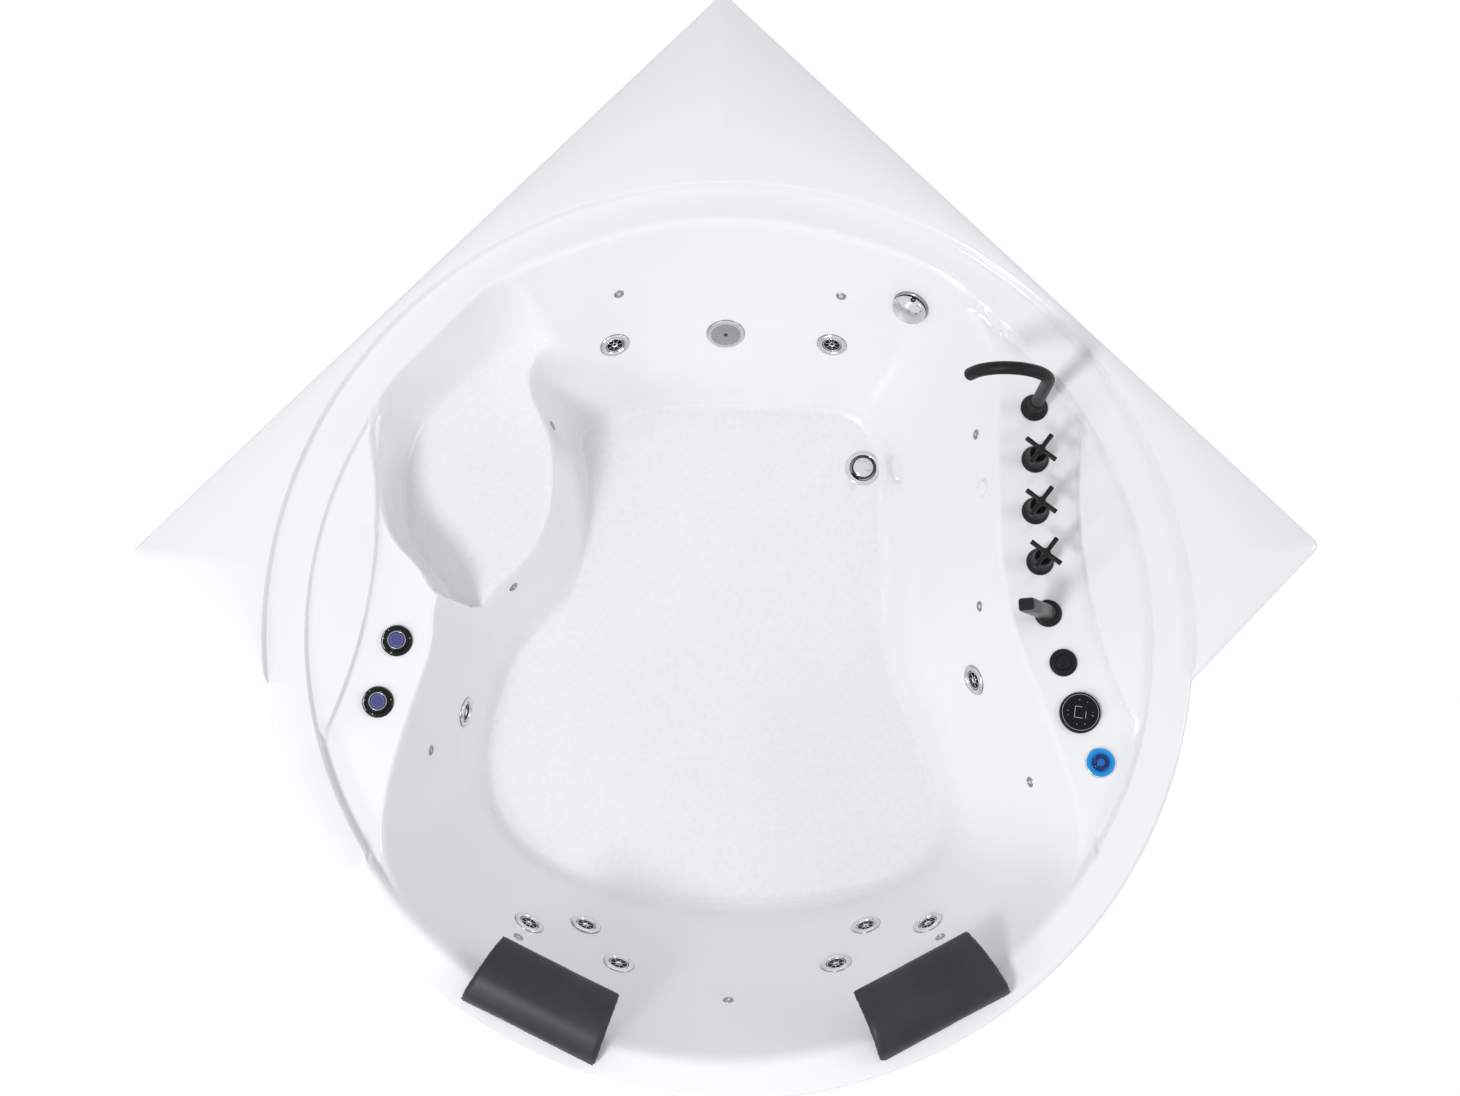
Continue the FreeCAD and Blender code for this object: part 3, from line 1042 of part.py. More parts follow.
def water_pipes(jet_frames, outlet):
    """Pressure main round the well with a branch to each jet, fed from the pump."""
    join = V(*polar(RING_PIPE_R, WATER_FROM), RING_PIPE_Z)
    knee = join + V(*polar(WATER_KNEE, WATER_FROM + 90), 0)
    top = outlet.z + WATER_KNEE
    approach = [outlet, V(outlet.x, outlet.y, top), V(knee.x, knee.y, top), knee]
    main = main_pipe(approach, WATER_PIPE_R * 1.3, RING_PIPE_R, RING_PIPE_Z, WATER_PIPE_R,
                     WATER_FROM, WATER_TO)
    branches = []
    for point, facing in jet_frames:
        tail = point - facing * (skin_along(facing) + BODY_GAP + JET_BODY_L - BRANCH_R)
        branches.append(branch(tail, RING_PIPE_R, RING_PIPE_Z, BRANCH_R))
    return main.fuse(branches).cut(PARTS["jet_bodies"])


def main_circle(radius, height, bore_r, start, end):
    """Arc of pipe about the rim's centre with closed ends."""
    ends = [V(*polar(radius, angle), height) for angle in (start, (start + end) / 2, end)]
    heading = V(*polar(1, start + 90), 0)
    return sweep_disc(Part.Wire([Part.Arc(*ends).toShape()]), ends[0], heading, bore_r)


def air_pipes(mini_frames):
    """Air main under the deck with a branch to each small outlet, fed from the blower."""
    x, y = BLOWER_AT
    azimuth = math.degrees(math.atan2(y, x))
    inlet = V(x, y, RAIL_TOP + BLOWER_H + BLOWER_NECK)
    main = main_circle(AIR_RING_R, AIR_RING_Z, AIR_PIPE_R, AIR_FROM, AIR_TO)
    inward = V(*polar(AIR_RING_R, azimuth), AIR_RING_Z)
    feed = pipe([inlet, V(x, y, AIR_RING_Z), inward], AIR_PIPE_R * 1.5, AIR_PIPE_R * 0.8)
    branches = [feed]
    for point, facing in mini_frames:
        tail = point - facing * (skin_along(facing) + FIT_GAP + MINI_TAIL - AIR_BRANCH_R)
        branches.append(branch(tail, AIR_RING_R, AIR_RING_Z, AIR_BRANCH_R))
    return main.fuse(branches).cut(PARTS["mini_jets"])


def dry_works():
    """Air blower and control box on the back rail."""
    x, y = BLOWER_AT
    case = turned([(0, 0), (BLOWER_R, 0), (BLOWER_R, BLOWER_H - 12), (BLOWER_R - 12, BLOWER_H),
                   (14, BLOWER_H), (14, BLOWER_H + BLOWER_NECK), (0, BLOWER_H + BLOWER_NECK)])
    keep("air_blower", placed(case, V(x, y, RAIL_TOP)))
    length, depth, height = CONTROL_BOX
    x, y = CONTROL_BOX_AT
    box = Part.makeBox(length, depth, height, V(x - length / 2, y - depth / 2, RAIL_TOP))
    keep("control_box", box.makeFillet(BOX_EDGE, box.Edges))


# ================================================================ build and export
def build():
    """Every node of the bathtub."""
    fittings = wall_fittings()
    frames = {kind: [(point, facing) for k, point, facing in fittings if k == kind] for kind in HOLE_R}
    keep("tub_shell", tub_shell(fittings))
    keep("skirt", skirt())
    keep("skirt_clips", *skirt_clips())
    keep("side_light", side_light())
    keep("support_frame", support_frame())
    studs, pads = feet()
    keep("leg_studs", *studs)
    keep("foot_pads", *pads)
    drain_parts()
    overflow_parts(*frames["overflow"][0])
    jet_parts(frames["jet"])
    mini_jets(frames["mini"])
    suction_parts(*frames["suction"][0])
    light_parts(*frames["light"][0])
    spout_parts()
    handle_parts()
    shower_parts()
    control_parts()
    head_rests()
    outlet = pump_parts(*frames["suction"][0])
    keep("water_pipes", water_pipes(frames["jet"], outlet))
    keep("air_pipes", air_pipes(frames["mini"]))
    dry_works()


def plan_shift():
    """Move from the rim's centre to the middle of the whole plan."""
    tip = CORNER_DIST - CORNER_ROUND * (math.sqrt(2) - 1)
    return V(0, (RIM_R - tip) / 2, 0)


os.makedirs("parts", exist_ok=True)
build()
for node, shape in PARTS.items():
    whole = shape.copy()
    whole.translate(plan_shift())
    whole.exportStep("parts/" + node + ".step")
print(len(PARTS), "nodes")
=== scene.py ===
import json
import math

import bmesh
import bpy
import numpy as np
from mathutils import Matrix, Vector


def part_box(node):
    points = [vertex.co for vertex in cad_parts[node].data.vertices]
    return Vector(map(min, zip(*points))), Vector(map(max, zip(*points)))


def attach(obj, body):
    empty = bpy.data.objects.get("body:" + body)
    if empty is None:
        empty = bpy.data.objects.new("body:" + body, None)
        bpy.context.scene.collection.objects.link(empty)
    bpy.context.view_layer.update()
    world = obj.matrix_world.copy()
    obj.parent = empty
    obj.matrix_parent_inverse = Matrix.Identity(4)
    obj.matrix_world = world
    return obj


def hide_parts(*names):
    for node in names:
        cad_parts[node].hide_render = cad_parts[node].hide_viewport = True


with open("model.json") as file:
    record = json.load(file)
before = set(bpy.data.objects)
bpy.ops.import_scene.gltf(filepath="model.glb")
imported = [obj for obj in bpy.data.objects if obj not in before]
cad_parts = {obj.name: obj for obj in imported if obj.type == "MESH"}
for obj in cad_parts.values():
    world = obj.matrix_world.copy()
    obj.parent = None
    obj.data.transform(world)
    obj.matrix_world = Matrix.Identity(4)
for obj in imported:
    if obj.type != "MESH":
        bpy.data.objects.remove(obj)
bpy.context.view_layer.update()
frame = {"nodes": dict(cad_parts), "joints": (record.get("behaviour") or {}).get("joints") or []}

bl_info = {
    "name": "Corner jetted bathtub",
    "version": (1, 0, 0),
    "blender": (4, 5, 0),
    "location": "View3D > Sidebar > Bathtub",
    "description": "Dresses the CAD model of a corner jetted bathtub with fine shapes and finishes",
    "category": "Object",
}

NODES = frame["nodes"]
JOINTS = {j["name"]: j for j in frame["joints"]}
MM = 0.001
PLAN_Y = -0.1846005          # the rim's centre lies here in the row frame


# ================================================================ plan of the moulded shell, in mm
def polar(radius, degrees):
    """Plan point at a radius and azimuth."""
    return (radius * math.cos(math.radians(degrees)), radius * math.sin(math.radians(degrees)))


def arc(radius, start, end, count):
    """Evenly spaced plan points on an arc."""
    return [polar(radius, start + (end - start) * i / (count - 1)) for i in range(count)]


RIM_R, STEP_R, WELL_R = 825.0, 752.0, 758.0
SHELF_R, SHELF_X, SHELF_Y = 950.0, 1581.0, 215.0
RIM_TOP, RING_TOP, SHELF_TOP, DECK_TOP = 620.0, 602.0, 588.0, 574.0
LIP_BOTTOM, WELL_FLOOR, SEAT_TOP = 576.0, 160.0, 405.0
WALL_LINE = 1200.0 / math.sqrt(2)
END_LINE = (1500.0 * math.sqrt(2) - 1200.0) / math.sqrt(2)
WAIST = -7.18
WELL_RIM = (
    [(518, 0), (500, 115), (497, 260), (501, 400), (500, 515)]
    + arc(WELL_R, 54, 115, 5)
    + [(-425, 622), (-440, 556), (-388, 441), (-368, 341), (-382, 251), (-424, 191), (-486, 131),
       (-534, 64), (-538, -5), (-566, -110), (-602, -225), (-626, -330), (-624, -415)]
    + arc(WELL_R, 223, 317, 6)
    + [(624, -415), (622, -330), (592, -225), (552, -105)])
WELL_BASE = [
    (333, -10), (320, 100), (319, 220), (320, 330), (316, 430),
    (282, 500), (175, 528), (25, 537), (-115, 532), (-225, 505),
    (-280, 470), (-278, 440), (-268, 385), (-265, 330), (-271, 255), (-292, 170), (-325, 125),
    (-368, 80), (-412, 20), (-445, -75), (-459, -180), (-448, -262), (-408, -325),
    (-345, -375), (-230, -420), (-80, -452), (80, -458), (235, -438), (350, -395),
    (402, -340), (412, -265), (392, -185), (366, -95)]
SEAT_RIM = (
    arc(WELL_R, 121, 141, 3)
    + [(-622, 430), (-634, 330), (-630, 245), (-602, 165), (-554, 108), (-530, 72), (-470, 66),
       (-300, 130), (-210, 250), (-190, 400), (-240, 540), (-320, 630)])
SEAT_BASE = [
    (-392, 592), (-459, 545), (-530, 478), (-575, 412), (-598, 330), (-594, 240), (-560, 165),
    (-517, 110), (-495, 82), (-460, 78), (-300, 135), (-210, 250), (-190, 400), (-240, 530),
    (-320, 590)]
WELL_DRAFT = ((-0.06, -0.06), (0.12, 0.13), (0.30, 0.32), (0.48, 0.51), (0.66, 0.70), (0.81, 0.86),
              (0.91, 0.945), (0.97, 1.00), (1.0, 1.07))
SEAT_DRAFT = ((-0.06, -0.05), (0.22, 0.18), (0.48, 0.42), (0.72, 0.66), (0.90, 0.86), (1.0, 1.05))
SEAT_MIDDLE = (-430.0, 350.0)

# Moulding of the deck, in mm and degrees of azimuth about the rim's centre.
SHELF_SIDE_X = 440.0         # beside the well the shelves lie further out than this
SHELF_FRONT_X, SHELF_FRONT_Y = 590.0, -420.0     # and in front they fade out towards the middle
SHELF_FADE = 60.0
CORNERS = (90.0, 7.483, 172.517, WAIST, 180 - WAIST)
CORNER_SPOKES = (0.0, 0.12, 0.26, 0.42, 0.62)    # from a corner
SEAT_SPOKES = ((116, 131, 0.4), (155, 176, 0.5))  # first, last and pitch at the seat's two ends
CORNER_ROUND = 23.6          # depth over which two sides of the outline blend
BOWL_CEILING = 900.0         # bowls are cut off above this
FLOOR_INSET, EDGE_INSET = 22.0, 24.0             # of the wall's first and last rows
FLOOR_ROWS = (0.06, 0.25, 0.45, 0.65, 0.82, 0.93)
NOSE_CROWD, NOSE_WIDTH = 6.0, 11.0               # how closely the wall's rows crowd at the seat's nose
EDGE_ROWS = (-19, -14.5, -10.5, -7, -4, -1.5, 1, 4, 8, 14)
STEP_ROWS = (-4.5, -2.6, -0.9, 0.9, 2.6, 4.5)
LEAST_GAP = 0.25             # between two rows
LIP_INSET = 6.0              # of the deck's last flat row
LIP_ROUND = ((4.2, 0.5), (2.4, 1.6), (0.9, 3.2), (0.15, 5.0), (0.0, 7.0))       # inset and drop
WALL = 5.8                   # of the shell, laid on below
SPOKE_ROOM = 0.3             # an even spoke this near to an extra one is left out, in degrees
RIM_WINDOW = 0.35            # reach of the seat's rim points along the azimuth, in degrees
SHELF_ROOM, STEP_ROOM = 20.0, (14.0, 12.0)      # of the shelf's rows from the opening and the step
FLOOR_TREAD, SEAT_TREAD = (9, 12), (5, 7)       # where the anti-slip tread ends and how softly
SEAT_CLEAR = 20              # the seat lies this far below the well's wall
DRAIN_BORE = 26.2
BORE_REACH = 0.03            # a bore takes wall points this near to its mouth, in metres

# Fittings in the wall: kind, place in metres and direction into the bath. The jets come from the frame.
FITTINGS = (
    ("mini", (-0.19694, 0.47602, 0.46874), (0.25939, -0.85941, 0.44060)),
    ("mini", (0.21939, 0.47121, 0.46774), (-0.22038, -0.87491, 0.43123)),
    ("mini", (-0.54207, -0.37624, 0.43483), (0.93676, -0.19590, 0.29001)),
    ("mini", (-0.38268, -0.71525, 0.43968), (0.45627, 0.71372, 0.53143)),
    ("mini", (-0.00904, -0.83185, 0.44765), (0.01757, 0.81526, 0.57883)),
    ("mini", (0.37518, -0.72247, 0.42970), (-0.44904, 0.73819, 0.50342)),
    ("mini", (0.54250, -0.44762, 0.46476), (-0.88274, -0.25352, 0.39559)),
    ("mini", (0.45828, -0.12832, 0.49176), (-0.90930, -0.12833, 0.39586)),
    ("mini", (0.45970, 0.19118, 0.50777), (-0.92034, 0.05050, 0.38785)),
    ("mini", (-0.39667, -0.06002, 0.36183), (0.68623, -0.67143, 0.27977)),
    ("mini", (-0.32499, 0.25688, 0.33485), (0.90528, 0.34754, 0.24431)),
    ("suction", (0.00651, 0.43644, 0.34272), (-0.02376, -0.88294, 0.46889)),
    ("overflow", (0.34770, 0.44269, 0.49975), (-0.41960, -0.80992, 0.40985)),
    ("light", (0.46636, 0.08433, 0.52976), (-0.91920, 0.00738, 0.39373)),
)
JET_NAMES = [n[len("jet_nozzle_"):] for n in NODES if n.startswith("jet_nozzle_")]
BORE_MM = {"jet": 21.0, "mini": 6.5, "suction": 27.5, "overflow": 26.0, "light": 14.5}
JET_VANES = 7


def wall_places():
    """(kind, place, facing) of every fitting in the wall; the jets come from their joints."""
    out = [(kind, Vector(at), Vector(way)) for kind, at, way in FITTINGS]
    for name in JET_NAMES:
        joint = JOINTS["jet_%s_turn" % name]
        out.append(("jet", Vector(joint["pos_m"]), Vector(joint["axis"])))
    return out


# ================================================================ finishes
class Flow:
    """A shader socket that takes part in sums."""

    def __init__(self, finish, value):
        self.finish = finish
        self.value = value

    def sum(self, kind, first, second, clamp=False):
        """A Math node on two values."""
        settings = {"operation": kind, "use_clamp": clamp}
        return self.finish.node("ShaderNodeMath", settings, {0: first, 1: second})

    def __add__(self, other):
        return self.sum("ADD", self, other)

    def __sub__(self, other):
        return self.sum("SUBTRACT", self, other)

    def __rsub__(self, other):
        return self.sum("SUBTRACT", other, self)

    def __mul__(self, other):
        return self.sum("MULTIPLY", self, other)

    def __truediv__(self, other):
        return self.sum("DIVIDE", self, other)

    def __rtruediv__(self, other):
        return self.sum("DIVIDE", other, self)

    __radd__ = __add__
    __rmul__ = __mul__

    def clamp(self):
        """The value kept between 0 and 1."""
        return self.sum("ADD", self, 0.0, True)


class Finish:
    """One material with its Principled shader and the calls that feed it."""

    def __init__(self, name, base, roughness, metallic=0.0, **constants):
        self.material = bpy.data.materials.new(name)
        self.material.use_nodes = True
        self.tree = self.material.node_tree
        self.shader = self.tree.nodes["Principled BSDF"]
        self.set("Base Color", (*base, 1.0))
        self.set("Roughness", roughness)
        self.set("Metallic", metallic)
        for key, value in constants.items():
            self.set(key.replace("_", " "), value)
        self.material.diffuse_color = (*base, 1.0)

    def set(self, socket, value):
        """A number, colour or link on the shader's own socket."""
        target = self.shader.inputs[socket]
        if isinstance(value, Flow):
            self.tree.links.new(value.value, target)
        else:
            target.default_value = value

    def node(self, kind, settings=(), values=(), out=0):
        """Any other node: its type, its settings and the values or links of its sockets."""
        made = self.tree.nodes.new(kind)
        for key, value in dict(settings).items():
            if key == "stops":
                ramp = made.color_ramp
                while len(ramp.elements) < len(value):
                    ramp.elements.new(0.5)
                for element, (place, colour) in zip(ramp.elements, value):
                    element.position = place
                    element.color = (*colour, 1.0)
            else:
                setattr(made, key, value)
        for key, value in dict(values).items():
            if isinstance(value, Flow):
                value = value.value
            if isinstance(value, bpy.types.NodeSocket):
                self.tree.links.new(value, made.inputs[key])
            else:
                made.inputs[key].default_value = value
        return Flow(self, made.outputs[out])

    def place(self):
        """Object coordinates."""
        return self.node("ShaderNodeTexCoord", out="Object")

    def attribute(self, name):
        """A number kept on the mesh."""
        return self.node("ShaderNodeAttribute", {"attribute_name": name}, out="Fac")

    def grain(self, scale, detail=4.0, rough=0.55, stretch=(1, 1, 1)):
        """Noise in object space, 0 to 1; scale is in features per metre."""
        spread = self.node("ShaderNodeMapping", {}, {"Vector": self.place(), "Scale": stretch})
        return self.node("ShaderNodeTexNoise", {}, {"Vector": spread, "Scale": scale, "Detail": detail,
                                                    "Roughness": rough})

    def cells(self, scale, feature="F1", out="Distance"):
        """Distance or colour in a cell pattern in object space."""
        values = {"Vector": self.place(), "Scale": scale}
        return self.node("ShaderNodeTexVoronoi", {"feature": feature}, values, out)

    def colours(self, share, *stops):
        """Colour ramp from stops, each a place and a colour."""
        return self.node("ShaderNodeValToRGB", {"stops": stops}, {"Fac": share})

    def drift(self, scale, base, low, high, detail=4.0, places=(0.3, 0.7)):
        """Base colour that drifts between a darker and a lighter tone of itself."""
        self.set("Base Color", self.colours(self.grain(scale, detail), (places[0], tone(base, low)),
                                            (places[1], tone(base, high))))

    def blend(self, share, first, second):
        """One colour passing into another."""
        return self.node("ShaderNodeMix", {"data_type": "RGBA"}, {0: share, 6: first, 7: second}, out=2)

    def bump(self, height, strength, distance=0.001):
        """Surface relief from a height."""
        self.set("Normal", self.node("ShaderNodeBump", {}, {"Height": height, "Strength": strength,
                                                            "Distance": distance}))
        return self


def tone(base, factor):
    """A colour made lighter or darker."""
    return tuple(min(1.0, c * factor) for c in base)


FINISHES = {}


def finish_acrylic(white):
    """Gloss white acrylic with a faint waviness and a fine anti-slip texture on the floor and seat."""
    f = Finish("gloss_acrylic", white, 0.16, Coat_Weight=0.35, Coat_Roughness=0.05, Specular_IOR_Level=0.5)
    plain = f.colours(f.grain(2.2, 2.0), (0.3, tone(white, 0.985)), (0.7, tone(white, 1.01)))
    tread = f.attribute("tread")
    pebble = f.cells(110.0, "SMOOTH_F1")
    raised = (white[0] * 0.985, white[1] * 1.005, white[2] * 0.99)
    f.set("Base Color", f.blend(tread, plain, f.colours(pebble, (0.2, tone(white, 0.965)), (0.6, raised))))
    f.set("Roughness", 0.09 + tread * 0.22 + f.grain(14.0, 3.0) * 0.05)
    f.bump(tread * pebble * 0.6 + f.grain(4.0, 1.0) * 0.30, 0.12, 0.0012)
    return f.material


def finish_backing():
    """Glass fibre and resin sprayed on the underside."""
    f = Finish("glass_fibre_backing", (0.72, 0.72, 0.68), 0.7)
    strands = f.grain(140.0, 6.0, 0.75, (1, 1, 3))
    f.set("Base Color", f.colours(strands, (0.3, (0.60, 0.60, 0.55)), (0.7, (0.80, 0.80, 0.77))))
    f.bump(strands, 0.5, 0.002)
    return f.material


def finish_chrome(name="polished_chrome", base=(0.66, 0.67, 0.69), roughness=0.07):
    """Chrome plate with a trace of water marks."""
    f = Finish(name, base, roughness, 1.0)
    marks = f.grain(60.0, 5.0, 0.6)
    f.set("Roughness", f.colours(marks, (0.45, (roughness,) * 3), (0.8, (roughness + 0.10,) * 3)))
    f.drift(9.0, base, 0.96, 1.03, 2.0)
    return f.material


def finish_coated(name, base, roughness, peel=0.15, scale=900.0, **extra):
    """Sprayed or powder coated surface with a fine orange peel."""
    f = Finish(name, base, roughness, **extra)
    wear = f.grain(7.0, 3.0)
    f.set("Base Color", f.colours(wear, (0.3, tone(base, 0.86)), (0.75, tone(base, 1.14))))
    f.set("Roughness", f.colours(wear, (0.2, (roughness - 0.05,) * 3), (0.8, (roughness + 0.07,) * 3)))
    f.bump(f.grain(scale, 3.0, 0.6), peel, 0.0004)
    return f.material


def finish_galvanised():
    """Hot dip galvanised steel with spangle."""
    f = Finish("galvanised_steel", (0.56, 0.58, 0.60), 0.42, 0.85)
    level = f.node("ShaderNodeSeparateColor", {}, {"Color": f.cells(70.0, out="Color")}, out="Red")
    f.set("Base Color", f.colours(level, (0.0, (0.46, 0.48, 0.50)), (1.0, (0.66, 0.68, 0.70))))
    f.set("Roughness", 0.34 + level * 0.18)
    f.bump(f.cells(70.0), 0.08, 0.0006)
    return f.material


def finish_zinc():
    """Zinc plated fixings, slightly streaky."""
    f = Finish("zinc_plate", (0.60, 0.61, 0.62), 0.32, 1.0)
    streak = f.grain(160.0, 4.0, 0.6, (1, 1, 0.15))
    f.set("Roughness", 0.26 + streak * 0.18)
    f.set("Base Color", f.colours(streak, (0.3, (0.54, 0.55, 0.55)), (0.7, (0.68, 0.69, 0.70))))
    return f.material


def finish_moulded(name, base, roughness=0.4, texture=0.12, **extra):
    """Moulded plastic with a fine spark texture."""
    f = Finish(name, base, roughness, **extra)
    f.drift(6.0, base, 0.94, 1.05, 3.0, (0.25, 0.8))
    f.set("Roughness", roughness - 0.04 + f.grain(35.0, 3.0) * 0.08)
    f.bump(f.grain(1500.0, 2.0), texture, 0.0003)
    return f.material


def finish_rubber():
    """Dull black rubber."""
    f = Finish("pad_rubber", (0.028, 0.028, 0.028), 0.85)
    dust = f.grain(40.0, 6.0, 0.7)
    f.set("Base Color", f.colours(dust, (0.4, (0.020, 0.020, 0.020)), (0.8, (0.060, 0.058, 0.055))))
    f.bump(f.grain(600.0, 3.0), 0.3, 0.0005)
    return f.material


def finish_skin(base):
    """Smooth black polyurethane skin of the head rests: soft sheen and a leather-fine grain."""
    f = Finish("polyurethane_skin", base, 0.42, Specular_IOR_Level=0.28)
    folds = f.grain(240.0, 5.0, 0.6)
    f.drift(12.0, base, 0.85, 1.25, 3.0, (0.3, 0.75))
    f.set("Roughness", 0.36 + folds * 0.14)
    f.bump(f.cells(700.0) * 0.5 + folds * 0.5, 0.16, 0.0004)
    return f.material


def finish_lit(name, at, reach, strength, *stops):
    """Translucent lens lit from behind; the stops give its colour from the middle to its edge."""
    f = Finish(name, stops[0][1], 0.14, Specular_IOR_Level=0.25, Emission_Strength=strength)
    away = f.node("ShaderNodeVectorMath", {"operation": "DISTANCE"}, {0: f.place(), 1: tuple(at)}, out="Value")
    glow = f.colours((away / reach).clamp(), *stops)
    f.set("Base Color", glow)
    f.set("Emission Color", glow)
    f.bump(f.cells(420.0), 0.15, 0.0005)
    return f.material


def finish_frosted():
    """Frosted white lens."""
    f = Finish("frosted_lens", (0.86, 0.88, 0.89), 0.35, Coat_Weight=0.3)
    f.set("Roughness", 0.28 + f.grain(300.0, 3.0) * 0.2)
    f.set("Base Color", f.colours(f.grain(40.0), (0.3, (0.82, 0.835, 0.87)), (0.7, (0.86, 0.87, 0.90))))
    return f.material


def finish_glass_face():
    """Black glass face of the control panel."""
    f = Finish("black_glass", (0.005, 0.006, 0.008), 0.05, Specular_IOR_Level=0.13)
    f.set("Roughness", 0.04 + f.grain(50.0, 4.0) * 0.06)
    f.set("Base Color", f.colours(f.grain(20.0), (0.3, (0.004, 0.005, 0.007)), (0.7, (0.007, 0.008, 0.011))))
    return f.material


def middle_of(name):
    """Middle of a CAD node's box, in metres."""
    low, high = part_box(name)
    return (np.array(low) + np.array(high)) / 2


def make_finishes(sizes):
    """All finishes of the bathtub by short name."""
    FINISHES.update(
        acrylic=finish_acrylic(tuple(sizes.acrylic_colour)), backing=finish_backing(), chrome=finish_chrome(),
        satin=finish_chrome("satin_chrome", (0.72, 0.73, 0.75), 0.16),
        smoked=finish_chrome("smoked_chrome", (0.055, 0.057, 0.062), 0.16),
        steel=finish_chrome("brushed_ring", (0.33, 0.34, 0.36), 0.22),
        black_metal=finish_coated("matt_black_coat", tuple(sizes.tap_colour), 0.42, Specular_IOR_Level=0.16),
        stick=finish_coated("satin_grey_coat", (0.085, 0.085, 0.09), 0.34, 0.1, Specular_IOR_Level=0.3),
        motor=finish_coated("motor_enamel", (0.06, 0.09, 0.15), 0.42, 0.3, 500.0),
        black_plastic=finish_moulded("black_moulding", (0.009, 0.009, 0.011), Specular_IOR_Level=0.16),
        gloss_black=finish_moulded("gloss_black_moulding", (0.005, 0.005, 0.006), 0.10, 0.02,
                                   Specular_IOR_Level=0.22),
        white_plastic=finish_moulded("white_moulding", (0.80, 0.81, 0.835), 0.45),
        pipe=finish_moulded("pale_pipe", (0.76, 0.76, 0.73), 0.35),
        air_pipe=finish_moulded("grey_pipe", (0.36, 0.37, 0.38), 0.45),
        grey_plastic=finish_moulded("grey_moulding", (0.36, 0.38, 0.40)),
        box=finish_moulded("box_moulding", (0.66, 0.67, 0.66), 0.5, 0.2),
        mark=finish_moulded("panel_marks", (0.42, 0.44, 0.46), 0.5, 0.02),
        frame_steel=finish_galvanised(), zinc=finish_zinc(), rubber=finish_rubber(),
        skin=finish_skin(tuple(sizes.rest_colour)), frosted=finish_frosted(), glass=finish_glass_face(),
        side_lamp=finish_lit("side_lamp_lens", middle_of("side_light"), 0.045, 0.6, (0.0, (0.35, 0.62, 1.0)),
                             (0.55, (0.05, 0.18, 0.85)), (1.0, (0.02, 0.08, 0.40))),
        # Blue button lens: partly its lit colour, partly painted light; the bright band at 0.66 to 0.84 of the
        # reach is a painted highlight round the ring, and the darker outer edge is painted shade.
        blue_lamp=finish_lit("blue_button_lens", middle_of("lamp_button"), 0.0285, 0.12,
                             (0.0, (0.01, 0.16, 0.55)), (0.22, (0.005, 0.10, 0.40)),
                             (0.30, (0.001, 0.012, 0.07)), (0.44, (0.002, 0.03, 0.15)),
                             (0.52, (0.002, 0.06, 0.28)), (0.66, (0.003, 0.20, 0.56)),
                             (0.84, (0.006, 0.28, 0.68)), (1.0, (0.002, 0.10, 0.38))))
    for name in ("front", "rear"):
        FINISHES["violet_" + name] = finish_lit(
            "violet_lens_" + name, middle_of("air_knob_" + name), 0.0155, 0.12, (0.0, (0.075, 0.075, 0.27)),
            (0.60, (0.055, 0.055, 0.20)), (0.72, (0.10, 0.10, 0.28)), (1.0, (0.025, 0.025, 0.08)))


# Finish of each CAD node; the jets' nozzles and every other node are chrome.
CAD_FINISH = {
    "acrylic": "tub_shell skirt",
    "zinc": "skirt_clips leg_studs",
    "side_lamp": "side_light",
    "frame_steel": "support_frame",
    "rubber": "foot_pads",
    "white_plastic": "drain_body trap overflow_body overflow_pipe jet_bodies suction_body light_housing",
    "grey_plastic": "suction_cover",
    "pipe": "suction_pipe water_pipes",
    "air_pipe": "air_pipes",
    "frosted": "light_lens",
    "black_metal": "spout_base spout shower_holder handle_cold handle_diverter handle_hot valve_bodies"
                   " rest_brackets",
    "stick": "hand_shower",
    "black_plastic": "air_button_bezel air_button panel_housing air_knob_bezels pump_wet_end air_blower",
    "satin": "lamp_button_bezel",
    "blue_lamp": "lamp_button",
    "glass": "panel_glass",
    "violet_front": "air_knob_front",
    "violet_rear": "air_knob_rear",
    "skin": "head_rest_left head_rest_right",
    "motor": "pump_motor",
    "box": "control_box",
}


# ================================================================ mesh helpers
def add_mesh(name, verts, faces, finishes, face_finish=None):
    """Smooth object at the origin from points in metres."""
    mesh = bpy.data.meshes.new(name)
    mesh.from_pydata([tuple(v) for v in verts], [], faces)
    for key in finishes:
        mesh.materials.append(FINISHES[key])
    if face_finish is not None:
        mesh.polygons.foreach_set("material_index", face_finish)
    mesh.polygons.foreach_set("use_smooth", [True] * len(mesh.polygons))
    mesh.update()
    piece = bpy.data.objects.new(name, mesh)
    bpy.context.scene.collection.objects.link(piece)
    return piece


# ================================================================ the shell as a height over the plan
def round_curve(points, count=720):
    """Closed smooth curve (cubic, chord lengths) through plan points, sampled evenly in its parameter."""
    p = np.array(points, float)
    n = len(p)
    h = np.linalg.norm(np.roll(p, -1, 0) - p, axis=1)
    a = np.zeros((n, n))
    b = np.zeros((n, 2))
    for i in range(n):
        before = h[i - 1]
        after = h[i]
        a[i, i - 1] = before
        a[i, i] = 2 * (before + after)
        a[i, (i + 1) % n] = after
        b[i] = 6 * ((p[(i + 1) % n] - p[i]) / after - (p[i] - p[i - 1]) / before)
    m = np.linalg.solve(a, b)
    t = np.concatenate([[0], np.cumsum(h)])
    s = np.linspace(0, t[-1], count, endpoint=False)
    k = np.clip(np.searchsorted(t, s, side="right") - 1, 0, n - 1)
    u = (s - t[k])[:, None]
    w = h[k][:, None] - u
    hk = h[k][:, None]
    nxt = (k + 1) % n
    return (m[k] * w ** 3 + m[nxt] * u ** 3) / (6 * hk) + (p[k] / hk - m[k] * hk / 6) * w \
        + (p[nxt] / hk - m[nxt] * hk / 6) * u


